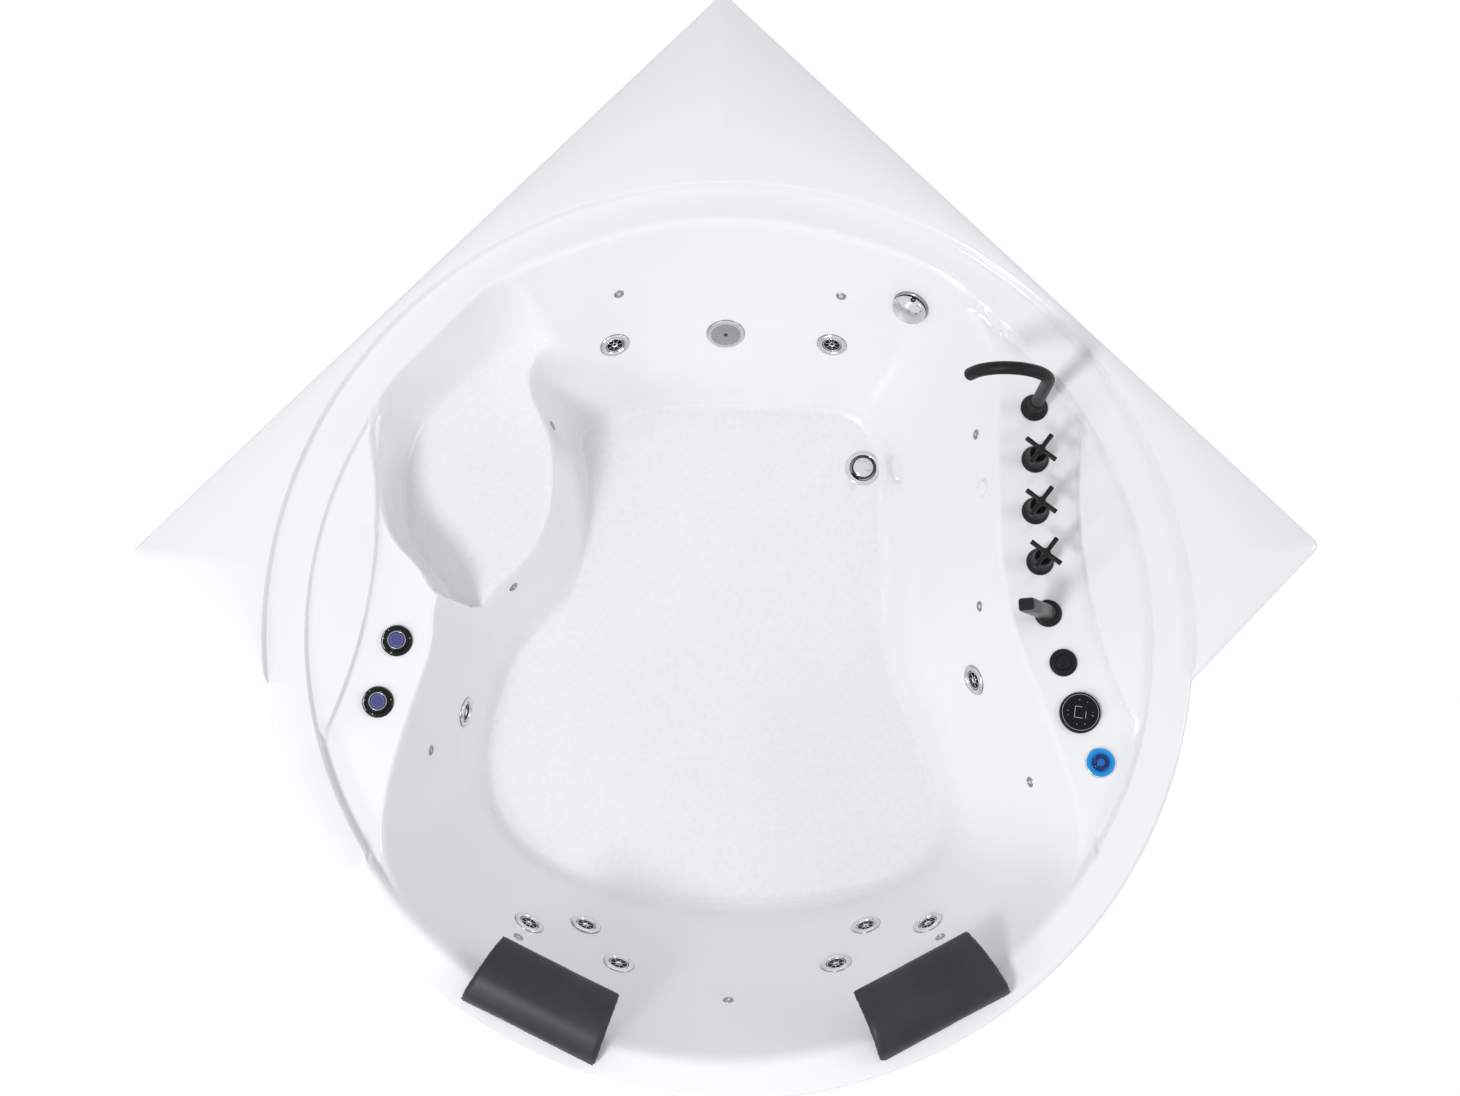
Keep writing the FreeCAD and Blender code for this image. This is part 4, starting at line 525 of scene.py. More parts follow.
def hermite(values, slopes, k, t, gap):
    """Cubic from point k to the next at a share t of the gap between them, from values and slopes."""
    return ((2 * t ** 3 - 3 * t ** 2 + 1) * values[k] + (t ** 3 - 2 * t ** 2 + t) * gap * slopes[k]
            + (-2 * t ** 3 + 3 * t ** 2) * values[k + 1] + (t ** 3 - t ** 2) * gap * slopes[k + 1])


def smooth_draft(table, count=72):
    """Depths and shares through a draft table, as a smooth curve."""
    d = np.array(table)
    x, y = d[:, 0], d[:, 1]
    depth = np.linspace(x[0], x[-1], count)
    k = np.clip(np.searchsorted(x, depth, side="right") - 1, 0, len(x) - 2)
    gap = x[k + 1] - x[k]
    return depth, hermite(y, np.gradient(y, x), k, (depth - x[k]) / gap, gap)


class Bowl:
    """Height of a moulded bowl's surface over the plan, from its outlines at the rim and at the base."""

    def __init__(self, rim, base, low, table, middle=(0.0, 0.0)):
        self.middle = np.array(middle)
        self.low = low
        rim = np.array(rim, float)
        base = np.array(base, float)
        depth, share = smooth_draft(table)
        self.heights = (RING_TOP - depth * (RING_TOP - low))[::-1]
        self.angles = np.linspace(-math.pi, math.pi, 1441)
        rows = []
        for s in share[::-1]:
            line = round_curve(rim + s * (base - rim)) - self.middle
            angle = np.unwrap(np.arctan2(line[:, 1], line[:, 0]))
            radius = np.hypot(line[:, 0], line[:, 1])
            order = np.argsort(angle)
            angle, radius = angle[order], radius[order]
            angle = np.concatenate([angle - 2 * math.pi, angle, angle + 2 * math.pi])
            rows.append(np.interp(self.angles, angle, np.tile(radius, 3)))
        self.radii = np.array(rows)

    def edge(self, angle, height):
        """Radius of the outline at a height."""
        i = np.interp(height, self.heights, np.arange(len(self.heights)))
        k = int(min(math.floor(i), len(self.heights) - 2))
        row = self.radii[k] * (1 - (i - k)) + self.radii[k + 1] * (i - k)
        return np.interp(angle, self.angles, row)

    def height(self, x, y):
        """Surface height over plan points."""
        dx = x - self.middle[0]
        dy = y - self.middle[1]
        angle = np.arctan2(dy, dx)
        radius = np.hypot(dx, dy)
        place = (angle + math.pi) / (2 * math.pi) * (len(self.angles) - 1)
        k = np.clip(np.floor(place).astype(int), 0, len(self.angles) - 2)
        f = place - k
        out = np.full(x.shape, self.low)
        column = self.radii[:, k] * (1 - f) + self.radii[:, k + 1] * f
        top = self.heights[-1]
        for i in range(len(self.heights) - 1):
            a, b = column[i], column[i + 1]
            inside = (radius >= a) & (radius < b)
            share = np.where(b > a, (radius - a) / np.maximum(b - a, 1e-6), 0)
            out = np.where(inside, self.heights[i] + share * (self.heights[i + 1] - self.heights[i]), out)
        gap = np.maximum(column[-1] - column[-2], 1e-3)
        slope = (self.heights[-1] - self.heights[-2]) / gap
        return np.where(radius >= column[-1], top + slope * (radius - column[-1]), out)


def soft_min(a, b, k):
    """Lower of two heights with the ridge between them rounded."""
    h = np.maximum(k - np.abs(a - b), 0) / k
    return np.minimum(a, b) - h * h * k / 4


def step(distance, width):
    """0 to 1 across a moulded step."""
    t = np.clip(distance / width + 0.5, 0, 1)
    return t * t * (3 - 2 * t)


def outline(angle, inset=0.0):
    """Radius of the deck's outline moved in by inset, in degrees of azimuth."""
    rad = np.radians(angle)
    c, s = np.cos(rad), np.sin(rad)
    root = math.sqrt(0.5)

    def line(nx, ny, at):
        across = np.maximum(nx * c + ny * s, 1e-3)
        return (at - inset) / across
    walls = soft_min(line(root, root, WALL_LINE), line(-root, root, WALL_LINE), CORNER_ROUND)
    ends = np.minimum(line(root, -root, END_LINE), line(-root, -root, END_LINE))
    square = soft_min(walls, ends, CORNER_ROUND)
    front = (angle < WAIST) | (angle > 180 - WAIST)
    return np.where(front, RIM_R - inset, np.maximum(square, RIM_R - inset))


def deck_height(x, y, angle, width):
    """Height of the stepped deck over plan points."""
    radius = np.hypot(x, y)
    square = ((angle > WAIST) & (angle < 180 - WAIST)).astype(float)
    z = RING_TOP + (RIM_TOP - RING_TOP) * step(radius - RIM_R, width) * square
    side = np.where(y < SHELF_FRONT_Y, step(np.abs(x) - SHELF_FRONT_X, SHELF_FADE), np.abs(x) > SHELF_SIDE_X)
    within = step(STEP_R - radius, width) * side
    from_shelf = np.minimum(np.hypot(x - SHELF_X, y - SHELF_Y), np.hypot(x + SHELF_X, y - SHELF_Y))
    return z - ((RING_TOP - SHELF_TOP) + (SHELF_TOP - DECK_TOP) * step(from_shelf - SHELF_R, width)) * within


def azimuths(sizes):
    """Directions of the shell's spokes: even, and closer together at the corners and the seat's ends."""
    even = np.arange(-90, 270, 360.0 / sizes.spokes)
    extra = sorted({round(c + sign * o, 4) for c in CORNERS for o in CORNER_SPOKES for sign in (-1, 1)})
    for first, last, pitch in SEAT_SPOKES:
        extra += list(np.arange(first, last, pitch))
    keep = [a for a in even if min(abs(a - e) for e in extra) > SPOKE_ROOM]
    return np.array(sorted(keep + extra))


def opening(well, spokes, turned):
    """Radius of the opening's edge on each spoke: the well's, or the seat's where it reaches further."""
    edge = well.edge(turned, RING_TOP)
    ring = round_curve(SEAT_RIM, 1400)
    ring_angle = np.degrees(np.arctan2(ring[:, 1], ring[:, 0])) % 360
    ring_radius = np.hypot(ring[:, 0], ring[:, 1])
    for i, a in enumerate(spokes % 360):
        near = np.abs((ring_angle - a + 180) % 360 - 180) < RIM_WINDOW
        if near.any():
            edge[i] = max(edge[i], ring_radius[near].max())
    return edge


def shell_rows(sizes, well, spokes):
    """Radii of the shell's rows of points on each spoke, from the floor to the deck's outline."""
    rad = np.radians(spokes)
    turned = (rad + math.pi) % (2 * math.pi) - math.pi
    foot = well.edge(turned, WELL_FLOOR) - FLOOR_INSET
    edge = opening(well, spokes, turned)
    rows = [foot * t for t in FLOOR_ROWS]
    reach = edge - EDGE_INSET - foot
    nose = (well.edge(turned, SEAT_TOP) - foot) / reach
    share = np.linspace(0, 1, 500)[:, None]
    crowd = np.cumsum(1 + NOSE_CROWD * np.exp(-(((share - nose) * reach) / NOSE_WIDTH) ** 2), axis=0)
    crowd = (crowd - crowd[0]) / (crowd[-1] - crowd[0])
    for k in np.linspace(0, 1, sizes.wall_rows + 1):
        rows.append(foot + reach * np.array([np.interp(k, line, share[:, 0]) for line in crowd.T]))
    rows += [edge + d for d in EDGE_ROWS]
    across = np.abs(SHELF_X * np.cos(rad)) + SHELF_Y * np.sin(rad)
    inside = across ** 2 - (SHELF_X ** 2 + SHELF_Y ** 2 - SHELF_R ** 2)
    shelf = np.where(inside > 0, across - np.sqrt(np.maximum(inside, 0)), STEP_R - STEP_ROOM[0])
    shelf = np.clip(shelf, edge + SHELF_ROOM, STEP_R - STEP_ROOM[1])
    for middle in (shelf, np.full_like(rad, STEP_R), np.full_like(rad, RIM_R)):
        rows += [middle + d for d in STEP_ROWS]
    rows = np.array(rows)
    for i in range(1, len(rows)):
        rows[i] = np.maximum(rows[i], rows[i - 1] + LEAST_GAP)
    left = np.arange(len(rows), 0, -1)[:, None] * LEAST_GAP
    return np.minimum(rows, outline(spokes, LIP_INSET) - left)


def make_bath_shell(sizes):
    """The moulded shell: deck, steps, well and seat with rounded edges, on a wall of even thickness."""
    well = Bowl(WELL_RIM, WELL_BASE, WELL_FLOOR, WELL_DRAFT)
    seat = Bowl(SEAT_RIM, SEAT_BASE, SEAT_TOP, SEAT_DRAFT, SEAT_MIDDLE)
    spokes = azimuths(sizes)
    rad = np.radians(spokes)
    count = len(rad)
    rows = shell_rows(sizes, well, spokes)
    x, y = rows * np.cos(rad), rows * np.sin(rad)
    deck = deck_height(x, y, np.broadcast_to(spokes, rows.shape), sizes.step_width)
    high = np.minimum(well.height(x, y), BOWL_CEILING)
    pocket = np.minimum(seat.height(x, y), BOWL_CEILING)
    z = soft_min(soft_min(high, pocket, sizes.nose), deck, sizes.roll)
    on_floor = 1 - step(z - WELL_FLOOR - FLOOR_TREAD[0], FLOOR_TREAD[1])
    on_seat = (1 - step(np.abs(z - SEAT_TOP) - SEAT_TREAD[0], SEAT_TREAD[1])) * (high > pocket + SEAT_CLEAR)
    lip = [(outline(spokes, inset), z[-1] - drop) for inset, drop in LIP_ROUND]
    lip += [(lip[-1][0], np.full_like(rad, LIP_BOTTOM + rise)) for rise in (8, 0)]
    rows = np.vstack([rows, [pair[0] for pair in lip]])
    z = np.vstack([z, [pair[1] for pair in lip]])
    tread = np.vstack([np.maximum(on_floor, on_seat), np.zeros((len(lip), count))])
    x, y = rows * np.cos(rad), rows * np.sin(rad)
    verts = np.stack([x.ravel() * MM, y.ravel() * MM + PLAN_Y, z.ravel() * MM], 1)
    verts = np.vstack([verts, [[0.0, PLAN_Y, float(z[0].mean()) * MM]]])
    verts, holes = open_bores(verts)
    pole = len(verts) - 1
    faces = [(pole, i, (i + 1) % count) for i in range(count)]
    for r in range(len(rows) - 1):
        for i in range(count):
            j = (i + 1) % count
            faces.append((r * count + i, (r + 1) * count + i, (r + 1) * count + j, r * count + j))
    faces = [f for f in faces if not all(holes[v] for v in f)]
    piece = add_mesh("bath_shell", verts, faces, ["acrylic", "backing"])
    layer = piece.data.attributes.new("tread", "FLOAT", "POINT")
    layer.data.foreach_set("value", np.append(tread.ravel(), 1.0))
    clean = bmesh.new()
    clean.from_mesh(piece.data)
    loose = [v for v in clean.verts if not v.link_faces]
    bmesh.ops.delete(clean, geom=loose, context="VERTS")
    clean.to_mesh(piece.data)
    clean.free()
    wall = piece.modifiers.new("wall", "SOLIDIFY")
    wall.thickness = WALL * MM
    wall.offset = -1
    wall.use_even_offset = False
    wall.material_offset = 1
    wall.material_offset_rim = 0
    finish_piece(piece, "bath", "acrylic", "tub_shell")


def open_bores(verts):
    """Moves points near each fitting onto the edge of its bore and marks those inside it."""
    verts = verts.copy()
    inside = np.zeros(len(verts), bool)
    spots = [(at, way, BORE_MM[kind]) for kind, at, way in wall_places() if kind != "mini"]
    spots.append((drain_place(), (0, 0, 1), DRAIN_BORE))
    for at, way, radius in spots:
        off = verts - np.array(at)
        along = off @ np.array(way)
        flat = off - along[:, None] * np.array(way)
        far = np.linalg.norm(flat, axis=1)
        near = (far < radius * MM) & (np.abs(along) < BORE_REACH)
        push = radius * MM / np.maximum(far, 1e-6)
        verts[near] += flat[near] * (push[near][:, None] - 1)
        inside |= near
    return verts, inside


def drain_place():
    """Middle of the waste on the well's floor, in metres."""
    middle = middle_of("drain_flange")
    return (middle[0], middle[1], WELL_FLOOR * MM)


# ================================================================ turned, bent and swept surfaces
def soften(points, steps=3):
    """Profile with its corners rounded where a point gives a radius as its third value."""
    out = []
    closed = points[0][0] > 0 or points[-1][0] > 0
    count = len(points)
    for i, point in enumerate(points):
        here = Vector(point[:2])
        radius = point[2] if len(point) > 2 else 0.0
        if radius == 0 or (not closed and i in (0, count - 1)):
            out.append(here)
            continue
        before = Vector(points[i - 1][:2]) - here
        after = Vector(points[(i + 1) % count][:2]) - here
        reach = min(radius, before.length * 0.49, after.length * 0.49)
        first = here + before.normalized() * reach
        last = here + after.normalized() * reach
        for k in range(steps + 1):
            t = k / steps
            out.append(first * (1 - t) ** 2 + here * 2 * t * (1 - t) + last * t * t)
    return [(max(p.x, 0.0), p.y) for p in out], closed


def spun(matrix, degrees, axis="Z"):
    """A matrix turned about one of its own axes."""
    return matrix @ Matrix.Rotation(math.radians(degrees), 4, axis)


def stand(at, way=(0, 0, 1), spin=0.0):
    """Matrix that puts a shape drawn about Z, in mm, on a place in metres and faces it a way."""
    turn = Vector((0, 0, 1)).rotation_difference(Vector(way)).to_matrix().to_4x4()
    return spun(Matrix.Translation(Vector(at)) @ turn, spin) @ Matrix.Scale(MM, 4)


def rounded_ring(width, depth, radius, z, per_corner=6):
    """Points round a rounded rectangle."""
    out = []
    for sx, sy, start in ((1, 1, 0), (-1, 1, 90), (-1, -1, 180), (1, -1, 270)):
        for k in range(per_corner + 1):
            x, y = polar(radius, start + 90 * k / per_corner)
            out.append(Vector((sx * (width / 2 - radius) + x, sy * (depth / 2 - radius) + y, z)))
    return out


NUT_REACH = (-14.2, -6.4)    # height of a tap's back nut below the deck's face, in mm


class Sculpt:
    """Surfaces gathered into one mesh."""

    def __init__(self, *finishes):
        self.finishes = finishes
        self.verts, self.faces, self.marks = [], [], []

    def add(self, verts, faces, matrix, finish):
        """Points and faces through a matrix."""
        start = len(self.verts)
        self.verts += [matrix @ Vector(v) for v in verts]
        flip = matrix.determinant() < 0
        for face in faces:
            face = tuple(start + i for i in face)
            self.faces.append(face[::-1] if flip else face)
            self.marks.append(self.finishes.index(finish))
        return self

    def turned(self, points, matrix, finish, segments=48):
        """Surface of revolution about Z; a profile that leaves the axis is closed on itself."""
        profile, closed = soften(points)
        if sum(a[0] * b[1] - b[0] * a[1] for a, b in zip(profile, profile[1:] + profile[:1])) < 0:
            profile.reverse()
        verts, faces, rows = [], [], []
        for radius, z in profile:
            if radius < 1e-6:
                rows.append([len(verts)] * segments)
                verts.append((0, 0, z))
            else:
                rows.append([len(verts) + i for i in range(segments)])
                verts += [(radius * math.cos(2 * math.pi * i / segments),
                           radius * math.sin(2 * math.pi * i / segments), z) for i in range(segments)]
        pairs = list(zip(rows, rows[1:]))
        if closed:
            pairs.append((rows[-1], rows[0]))
        for low, high in pairs:
            for i in range(segments):
                j = (i + 1) % segments
                face = [low[i], low[j], high[j], high[i]]
                face = [v for k, v in enumerate(face) if v != face[k - 1]]
                if len(face) > 2:
                    faces.append(tuple(face))
        return self.add(verts, faces, matrix, finish)

    def loft(self, rings, matrix, finish):
        """Skin over closed rings of equally many points, with flat ends."""
        count = len(rings[0])
        verts = [p for ring in rings for p in ring]
        faces = [(r * count + i, r * count + j, (r + 1) * count + j, (r + 1) * count + i)
                 for r in range(len(rings) - 1) for i, j in zip(range(count), [*range(1, count), 0])]
        faces.append(tuple(range(count))[::-1])
        faces.append(tuple((len(rings) - 1) * count + i for i in range(count)))
        return self.add(verts, faces, matrix, finish)

    def tube(self, path, radii, matrix, finish, segments=32):
        """Round bar along points, each with its radius."""
        rings = []
        path = [Vector(p) for p in path]
        side = (path[1] - path[0]).orthogonal().normalized()
        for i, point in enumerate(path):
            ahead = (path[min(i + 1, len(path) - 1)] - path[max(i - 1, 0)]).normalized()
            side = (side - ahead * side.dot(ahead)).normalized()
            other = ahead.cross(side)
            rings.append([point + radii[i] * (side * math.cos(a) + other * math.sin(a))
                          for a in (2 * math.pi * k / segments for k in range(segments))])
        return self.loft(rings, matrix, finish)

    def bar(self, size, centre, matrix, finish, edge=1.0):
        """Block with rounded upright corners and bevelled top and bottom."""
        edge = min(edge, *[s * 0.45 for s in size])
        half = size[2] / 2
        rings = []
        for z, inset in ((-half, edge), (-half + edge * 0.3, edge * 0.3), (-half + edge, 0),
                         (half - edge, 0), (half - edge * 0.3, edge * 0.3), (half, edge)):
            ring = rounded_ring(size[0] - 2 * inset, size[1] - 2 * inset, edge - inset, z, 3)
            rings.append([p + Vector(centre) for p in ring])
        return self.loft(rings, matrix, finish)

    def bars_round(self, angles, size, centre, matrix, finish, edge=1.0):
        """The same block at several angles about Z."""
        for angle in angles:
            self.bar(size, centre, spun(matrix, angle), finish, edge)
        return self

    def back_nut(self, corner, matrix):
        """Hexagonal nut of a tap under the deck."""
        ring = [polar(corner, 60 * i) for i in range(6)]
        return self.loft([[Vector((x, y, z)) for x, y in ring] for z in NUT_REACH], matrix, "black_metal")

    def make(self, name, crease=38.0):
        """The object, with edges sharper than the crease kept crisp."""
        piece = add_mesh(name, self.verts, self.faces, self.finishes, self.marks)
        crisp(piece.data, crease)
        return piece

    def hand_over(self, name, body, slot, *nodes):
        """Makes the object and hands it over."""
        return finish_piece(self.make(name), body, slot, *nodes)


def crisp(mesh, degrees):
    """Smooth shading, with edges sharper than an angle kept crisp."""
    mesh.polygons.foreach_set("use_smooth", [True] * len(mesh.polygons))
    mesh.set_sharp_from_angle(angle=math.radians(degrees))


def finish_piece(piece, body, slot, *nodes):
    """Hands a piece over: the body that it rides and the CAD nodes that it stands for; its slot is not used.
    """
    if nodes:
        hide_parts(*nodes)
    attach(piece, body)
    return piece


# ================================================================ fittings in the wall
def places(kind):
    """Matrices of all fittings of a kind."""
    return [stand(at, way) for k, at, way in wall_places() if k == kind]


def make_jets():
    """Ten jets: a chrome ring each, and a swivelling nozzle with a funnel, vanes and an eye."""
    rings = Sculpt("chrome", "steel")
    for matrix in places("jet"):
        rings.turned([(17.7, -9), (19, -9), (19, 0), (28, 0), (28, 2.6), (25.4, 4.9, 1.6), (20.9, 4.9, 1.6),
                      (18.0, 2.2, 0.8)], matrix, "chrome", 64)
        # The thin darker steel lip round the ring's foot is painted shade: it stands in for the contact shadow
        # between ring and shell.
        rings.turned([(27.6, 0), (29, 0, 0.4), (28.8, 1.8, 0.8), (27.6, 2.9, 0.4)], matrix, "steel", 64)
    rings.hand_over("jet_ring_set", "bath", "chrome", "jet_rings")
    for name, matrix in zip(JET_NAMES, places("jet")):
        nozzle = Sculpt("chrome", "smoked", "gloss_black")
        nozzle.turned([(15.2, -3.0), (17.4, -7.8), (17.4, 1.0, 0.8), (16.2, 2.2, 0.6), (15.2, 1.4, 0.4)],
                      matrix, "chrome", 56)
        nozzle.turned([(13.4, -7.8), (15.3, -7.8), (15.3, 1.2, 0.3), (14.4, 1.0, 0.4), (9.6, -6.2, 1.0),
                       (9.0, -7.8)], matrix, "smoked", 56)
        # Black disc at the funnel's floor: painted shade standing in for the dark bore behind the nozzle.
        nozzle.turned([(0, -7.6), (9.4, -7.6), (9.4, -6.9), (0, -6.9)], matrix, "gloss_black", 40)
        nozzle.turned([(3.2, -7.0), (5.6, -7.0), (6.4, -1.5, 1.0), (6.0, 1.0, 0.6), (4.8, 1.0, 0.6),
                       (3.2, -1.0)], matrix, "chrome", 40)
        vanes = [360 / JET_VANES * k + 12 for k in range(JET_VANES)]
        nozzle.bars_round(vanes, (7.6, 1.2, 6.4), (10.2, 0, -3.0), matrix, "chrome", 0.3)
        nozzle.hand_over("nozzle_" + name, "jet_nozzle_" + name, "chrome", "jet_nozzle_" + name)


def make_minis():
    """Small outlets with a rounded cap round a black disc, painted shade that stands in for the dark bore."""
    caps = Sculpt("steel", "gloss_black")
    for matrix in places("mini"):
        caps.turned([(2.6, -24), (5.0, -24), (5.0, 0), (10, 0, 0.3), (9.6, 1.4, 0.8), (6.6, 3.0, 1.2),
                     (4.8, 2.6, 0.6), (3.6, 0.2, 0.6)], matrix, "steel", 36)
        # Black disc in the cap's middle: painted shade standing in for the dark bore.
        caps.turned([(0, -2.0), (4.6, -2.0), (4.6, 0.3), (0, 0.3)], matrix, "gloss_black", 24)
        caps.bars_round((0, 120, 240), (3.0, 0.7, 1.2), (2.2, 0, 0.5), matrix, "steel", 0.2)
    caps.hand_over("air_outlet_caps", "bath", "chrome", "mini_jets")


def tree_node(tree, kind, values=(), **settings):
    """A node with its settings, then the values or links of its sockets; gives its first output."""
    made = tree.nodes.new(kind)
    for key, value in settings.items():
        setattr(made, key, value)
    for key, value in dict(values).items():
        if isinstance(value, bpy.types.NodeSocket):
            tree.links.new(value, made.inputs[key])
        else:
            made.inputs[key].default_value = value
    return made.outputs[0] if made.outputs else None


def open_group(name, *inputs):
    """New geometry group and the outputs of its named inputs, the last of which is its finish."""
    group = bpy.data.node_groups.new(name, "GeometryNodeTree")
    group.interface.new_socket("Geometry", in_out="OUTPUT", socket_type="NodeSocketGeometry")
    for label, kind in (*inputs, ("Finish", "Material")):
        group.interface.new_socket(label, in_out="INPUT", socket_type="NodeSocket" + kind)
    return group, tree_node(group, "NodeGroupInput").node.outputs


def close_group(group, shape, finish):
    """Makes a group's instances real, coats them and hands them out."""
    real = tree_node(group, "GeometryNodeRealizeInstances", {"Geometry": shape})
    coat = tree_node(group, "GeometryNodeSetMaterial", {"Geometry": real, "Material": finish})
    tree_node(group, "NodeGroupOutput", {0: coat})
    return group


def perforation_group():
    """Rings of round holes cut through whatever comes in."""
    group, ask = open_group("perforations", ("Plate", "Geometry"), ("Hole radius", "Float"),
                            ("Pitch", "Float"))
    joined = group.nodes.new("GeometryNodeJoinGeometry")
    for row in range(1, 7):
        reach = tree_node(group, "ShaderNodeMath", {0: ask["Pitch"], 1: float(row)}, operation="MULTIPLY")
        circle = tree_node(group, "GeometryNodeMeshCircle", {"Vertices": 6 * row, "Radius": reach})
        group.links.new(circle, joined.inputs[0])
    drill = tree_node(group, "GeometryNodeMeshCylinder", {"Vertices": 8, "Radius": ask["Hole radius"],
                                                          "Depth": 0.02})
    spread = tree_node(group, "GeometryNodeInstanceOnPoints", {"Points": joined.outputs[0], "Instance": drill})
    solid = tree_node(group, "GeometryNodeRealizeInstances", {"Geometry": spread})
    cut = tree_node(group, "GeometryNodeMeshBoolean", {"Mesh 1": ask["Plate"], "Mesh 2": solid},
                    operation="DIFFERENCE")
    return close_group(group, cut, ask["Finish"])


def fin_group():
    """Cooling fins set round a motor's case."""
    group, ask = open_group("motor_fins", ("Fin", "Geometry"), ("Count", "Int"), ("Case radius", "Float"))
    circle = tree_node(group, "GeometryNodeMeshCircle", {"Vertices": ask["Count"],
                                                         "Radius": ask["Case radius"]})
    aim = tree_node(group, "FunctionNodeAlignRotationToVector",
                    {"Vector": tree_node(group, "GeometryNodeInputPosition")}, axis="X", pivot_axis="Z")
    spread = tree_node(group, "GeometryNodeInstanceOnPoints", {"Points": circle, "Instance": ask["Fin"],
                                                               "Rotation": aim})
    return close_group(group, spread, ask["Finish"])


def through_group(piece, group, matrix, **values):
    """Runs a piece through a geometry group in its own frame and puts the result in place."""
    modifier = piece.modifiers.new(group.name, "NODES")
    modifier.node_group = group
    for item in group.interface.items_tree:
        if item.item_type == "SOCKET" and item.in_out == "INPUT" and item.name.replace(" ", "_") in values:
            modifier[item.identifier] = values[item.name.replace(" ", "_")]
    bpy.context.view_layer.update()
    bake(piece)
    piece.data.transform(matrix)
    crisp(piece.data, 35)
    return piece


HOLE_RADIUS, HOLE_PITCH = 0.0013, 0.0042     # of the suction cover, in metres


def make_suction():
    """Perforated cover with its screw in a chrome rim."""
    matrix = places("suction")[0]
    rim = Sculpt("chrome", "steel", "gloss_black")
    # Black disc behind the perforated cover: painted shade standing in for the dark space behind its holes.
    rim.turned([(0, -6), (21.2, -6), (21.2, -5), (0, -5)], matrix, "gloss_black", 48)
    # The thin darker steel lip round the rim's foot is painted shade: it stands in for the contact shadow
    # between rim and shell.
    rim.turned([(35.6, 0), (37, 0, 0.5), (36.6, 2.0, 0.8), (35.2, 3.2, 0.4)], matrix, "steel", 72)
    rim.turned([(21, -8), (26, -8), (26, 0), (35.8, 0), (35.8, 3.0), (33, 4.4, 1.0), (28.2, 4.4, 0.5),
                (28.0, 3.9), (31.3, 3.7), (31.3, 1.4), (21, 1.4)], matrix, "chrome", 72)
    rim.turned([(0, -4), (6, -4), (6, 1.4), (0, 1.4)], matrix, "chrome", 32)
    rim.bars_round((45, 135, 225, 315), (17, 3, 3), (13.5, 0, -2.5), matrix, "chrome", 0.5)
    rim.hand_over("suction_ring", "bath", "chrome", "suction_rim")
    plate = Sculpt("grey_plastic")
    plate.turned([(0, 1.6), (31, 1.6), (31, 3.4, 0.3), (28, 3.5, 0.5), (24, 4.0, 3.0), (0, 4.3)],
                 stand((0, 0, 0)), "grey_plastic", 72)
    plate = through_group(plate.make("suction_plate"), perforation_group(), matrix @ Matrix.Scale(1 / MM, 4),
                          Hole_radius=HOLE_RADIUS, Pitch=HOLE_PITCH, Finish=FINISHES["grey_plastic"])
    finish_piece(plate, "bath", "grey_plastic", "suction_cover")
    screw = Sculpt("smoked")
    screw.turned([(0, 3.6), (3.6, 3.6), (3.6, 4.8, 0.6), (2.4, 5.9, 0.8), (0, 6.1)], matrix, "smoked", 32)
    screw.bar((0.8, 4.6, 0.6), (0, 0, 5.95), matrix, "smoked", 0.1)
    screw.hand_over("suction_screw", "bath", "chrome")


def make_overflow():
    """Chrome back ring with its guide and the domed knob that works the plug."""
    matrix = places("overflow")[0]
    ring = Sculpt("chrome", "steel")
    ring.turned([(19, -7), (24, -7), (24, 0), (35, 0, 0.6), (34.6, 3.6, 2.2), (31.5, 6.0, 1.8),
                 (21, 6.0, 1.4)], matrix, "steel", 72)
    ring.turned([(6.1, -7), (10, -7), (10, 3), (6.1, 3)], matrix, "chrome", 32)
    ring.bars_round((90, 210, 330), (12, 4, 3), (14.5, 0, -5.4), matrix, "chrome", 0.5)
    ring.hand_over("overflow_back_ring", "bath", "chrome", "overflow_ring")
    knob = Sculpt("chrome", "black_plastic")
    knob.turned([(0, -4), (6, -4), (6, 9.2), (31.4, 9.2, 1.4), (33, 11.5, 2.0), (33, 16.5, 3.0),
                 (28.5, 22, 5.0), (19, 27, 8.0), (9, 29.1, 6.0), (0, 29.4)], matrix, "chrome", 80)
    # Small black disc on the knob's side: painted shade standing in for the dark hole there.
    uphill = math.degrees(math.atan2(matrix[2][1], matrix[2][0]))
    spot = spun(spun(matrix, uphill) @ Matrix.Translation((32.2, 0, 15.2)), 80, "Y")
    knob.turned([(0, -4), (5.0, -4), (5.0, 0.4, 0.3), (4.2, 0.6, 0.2), (0, 0.6)], spot, "black_plastic", 28)
    knob.hand_over("overflow_dome", "overflow_knob", "chrome", "overflow_knob")


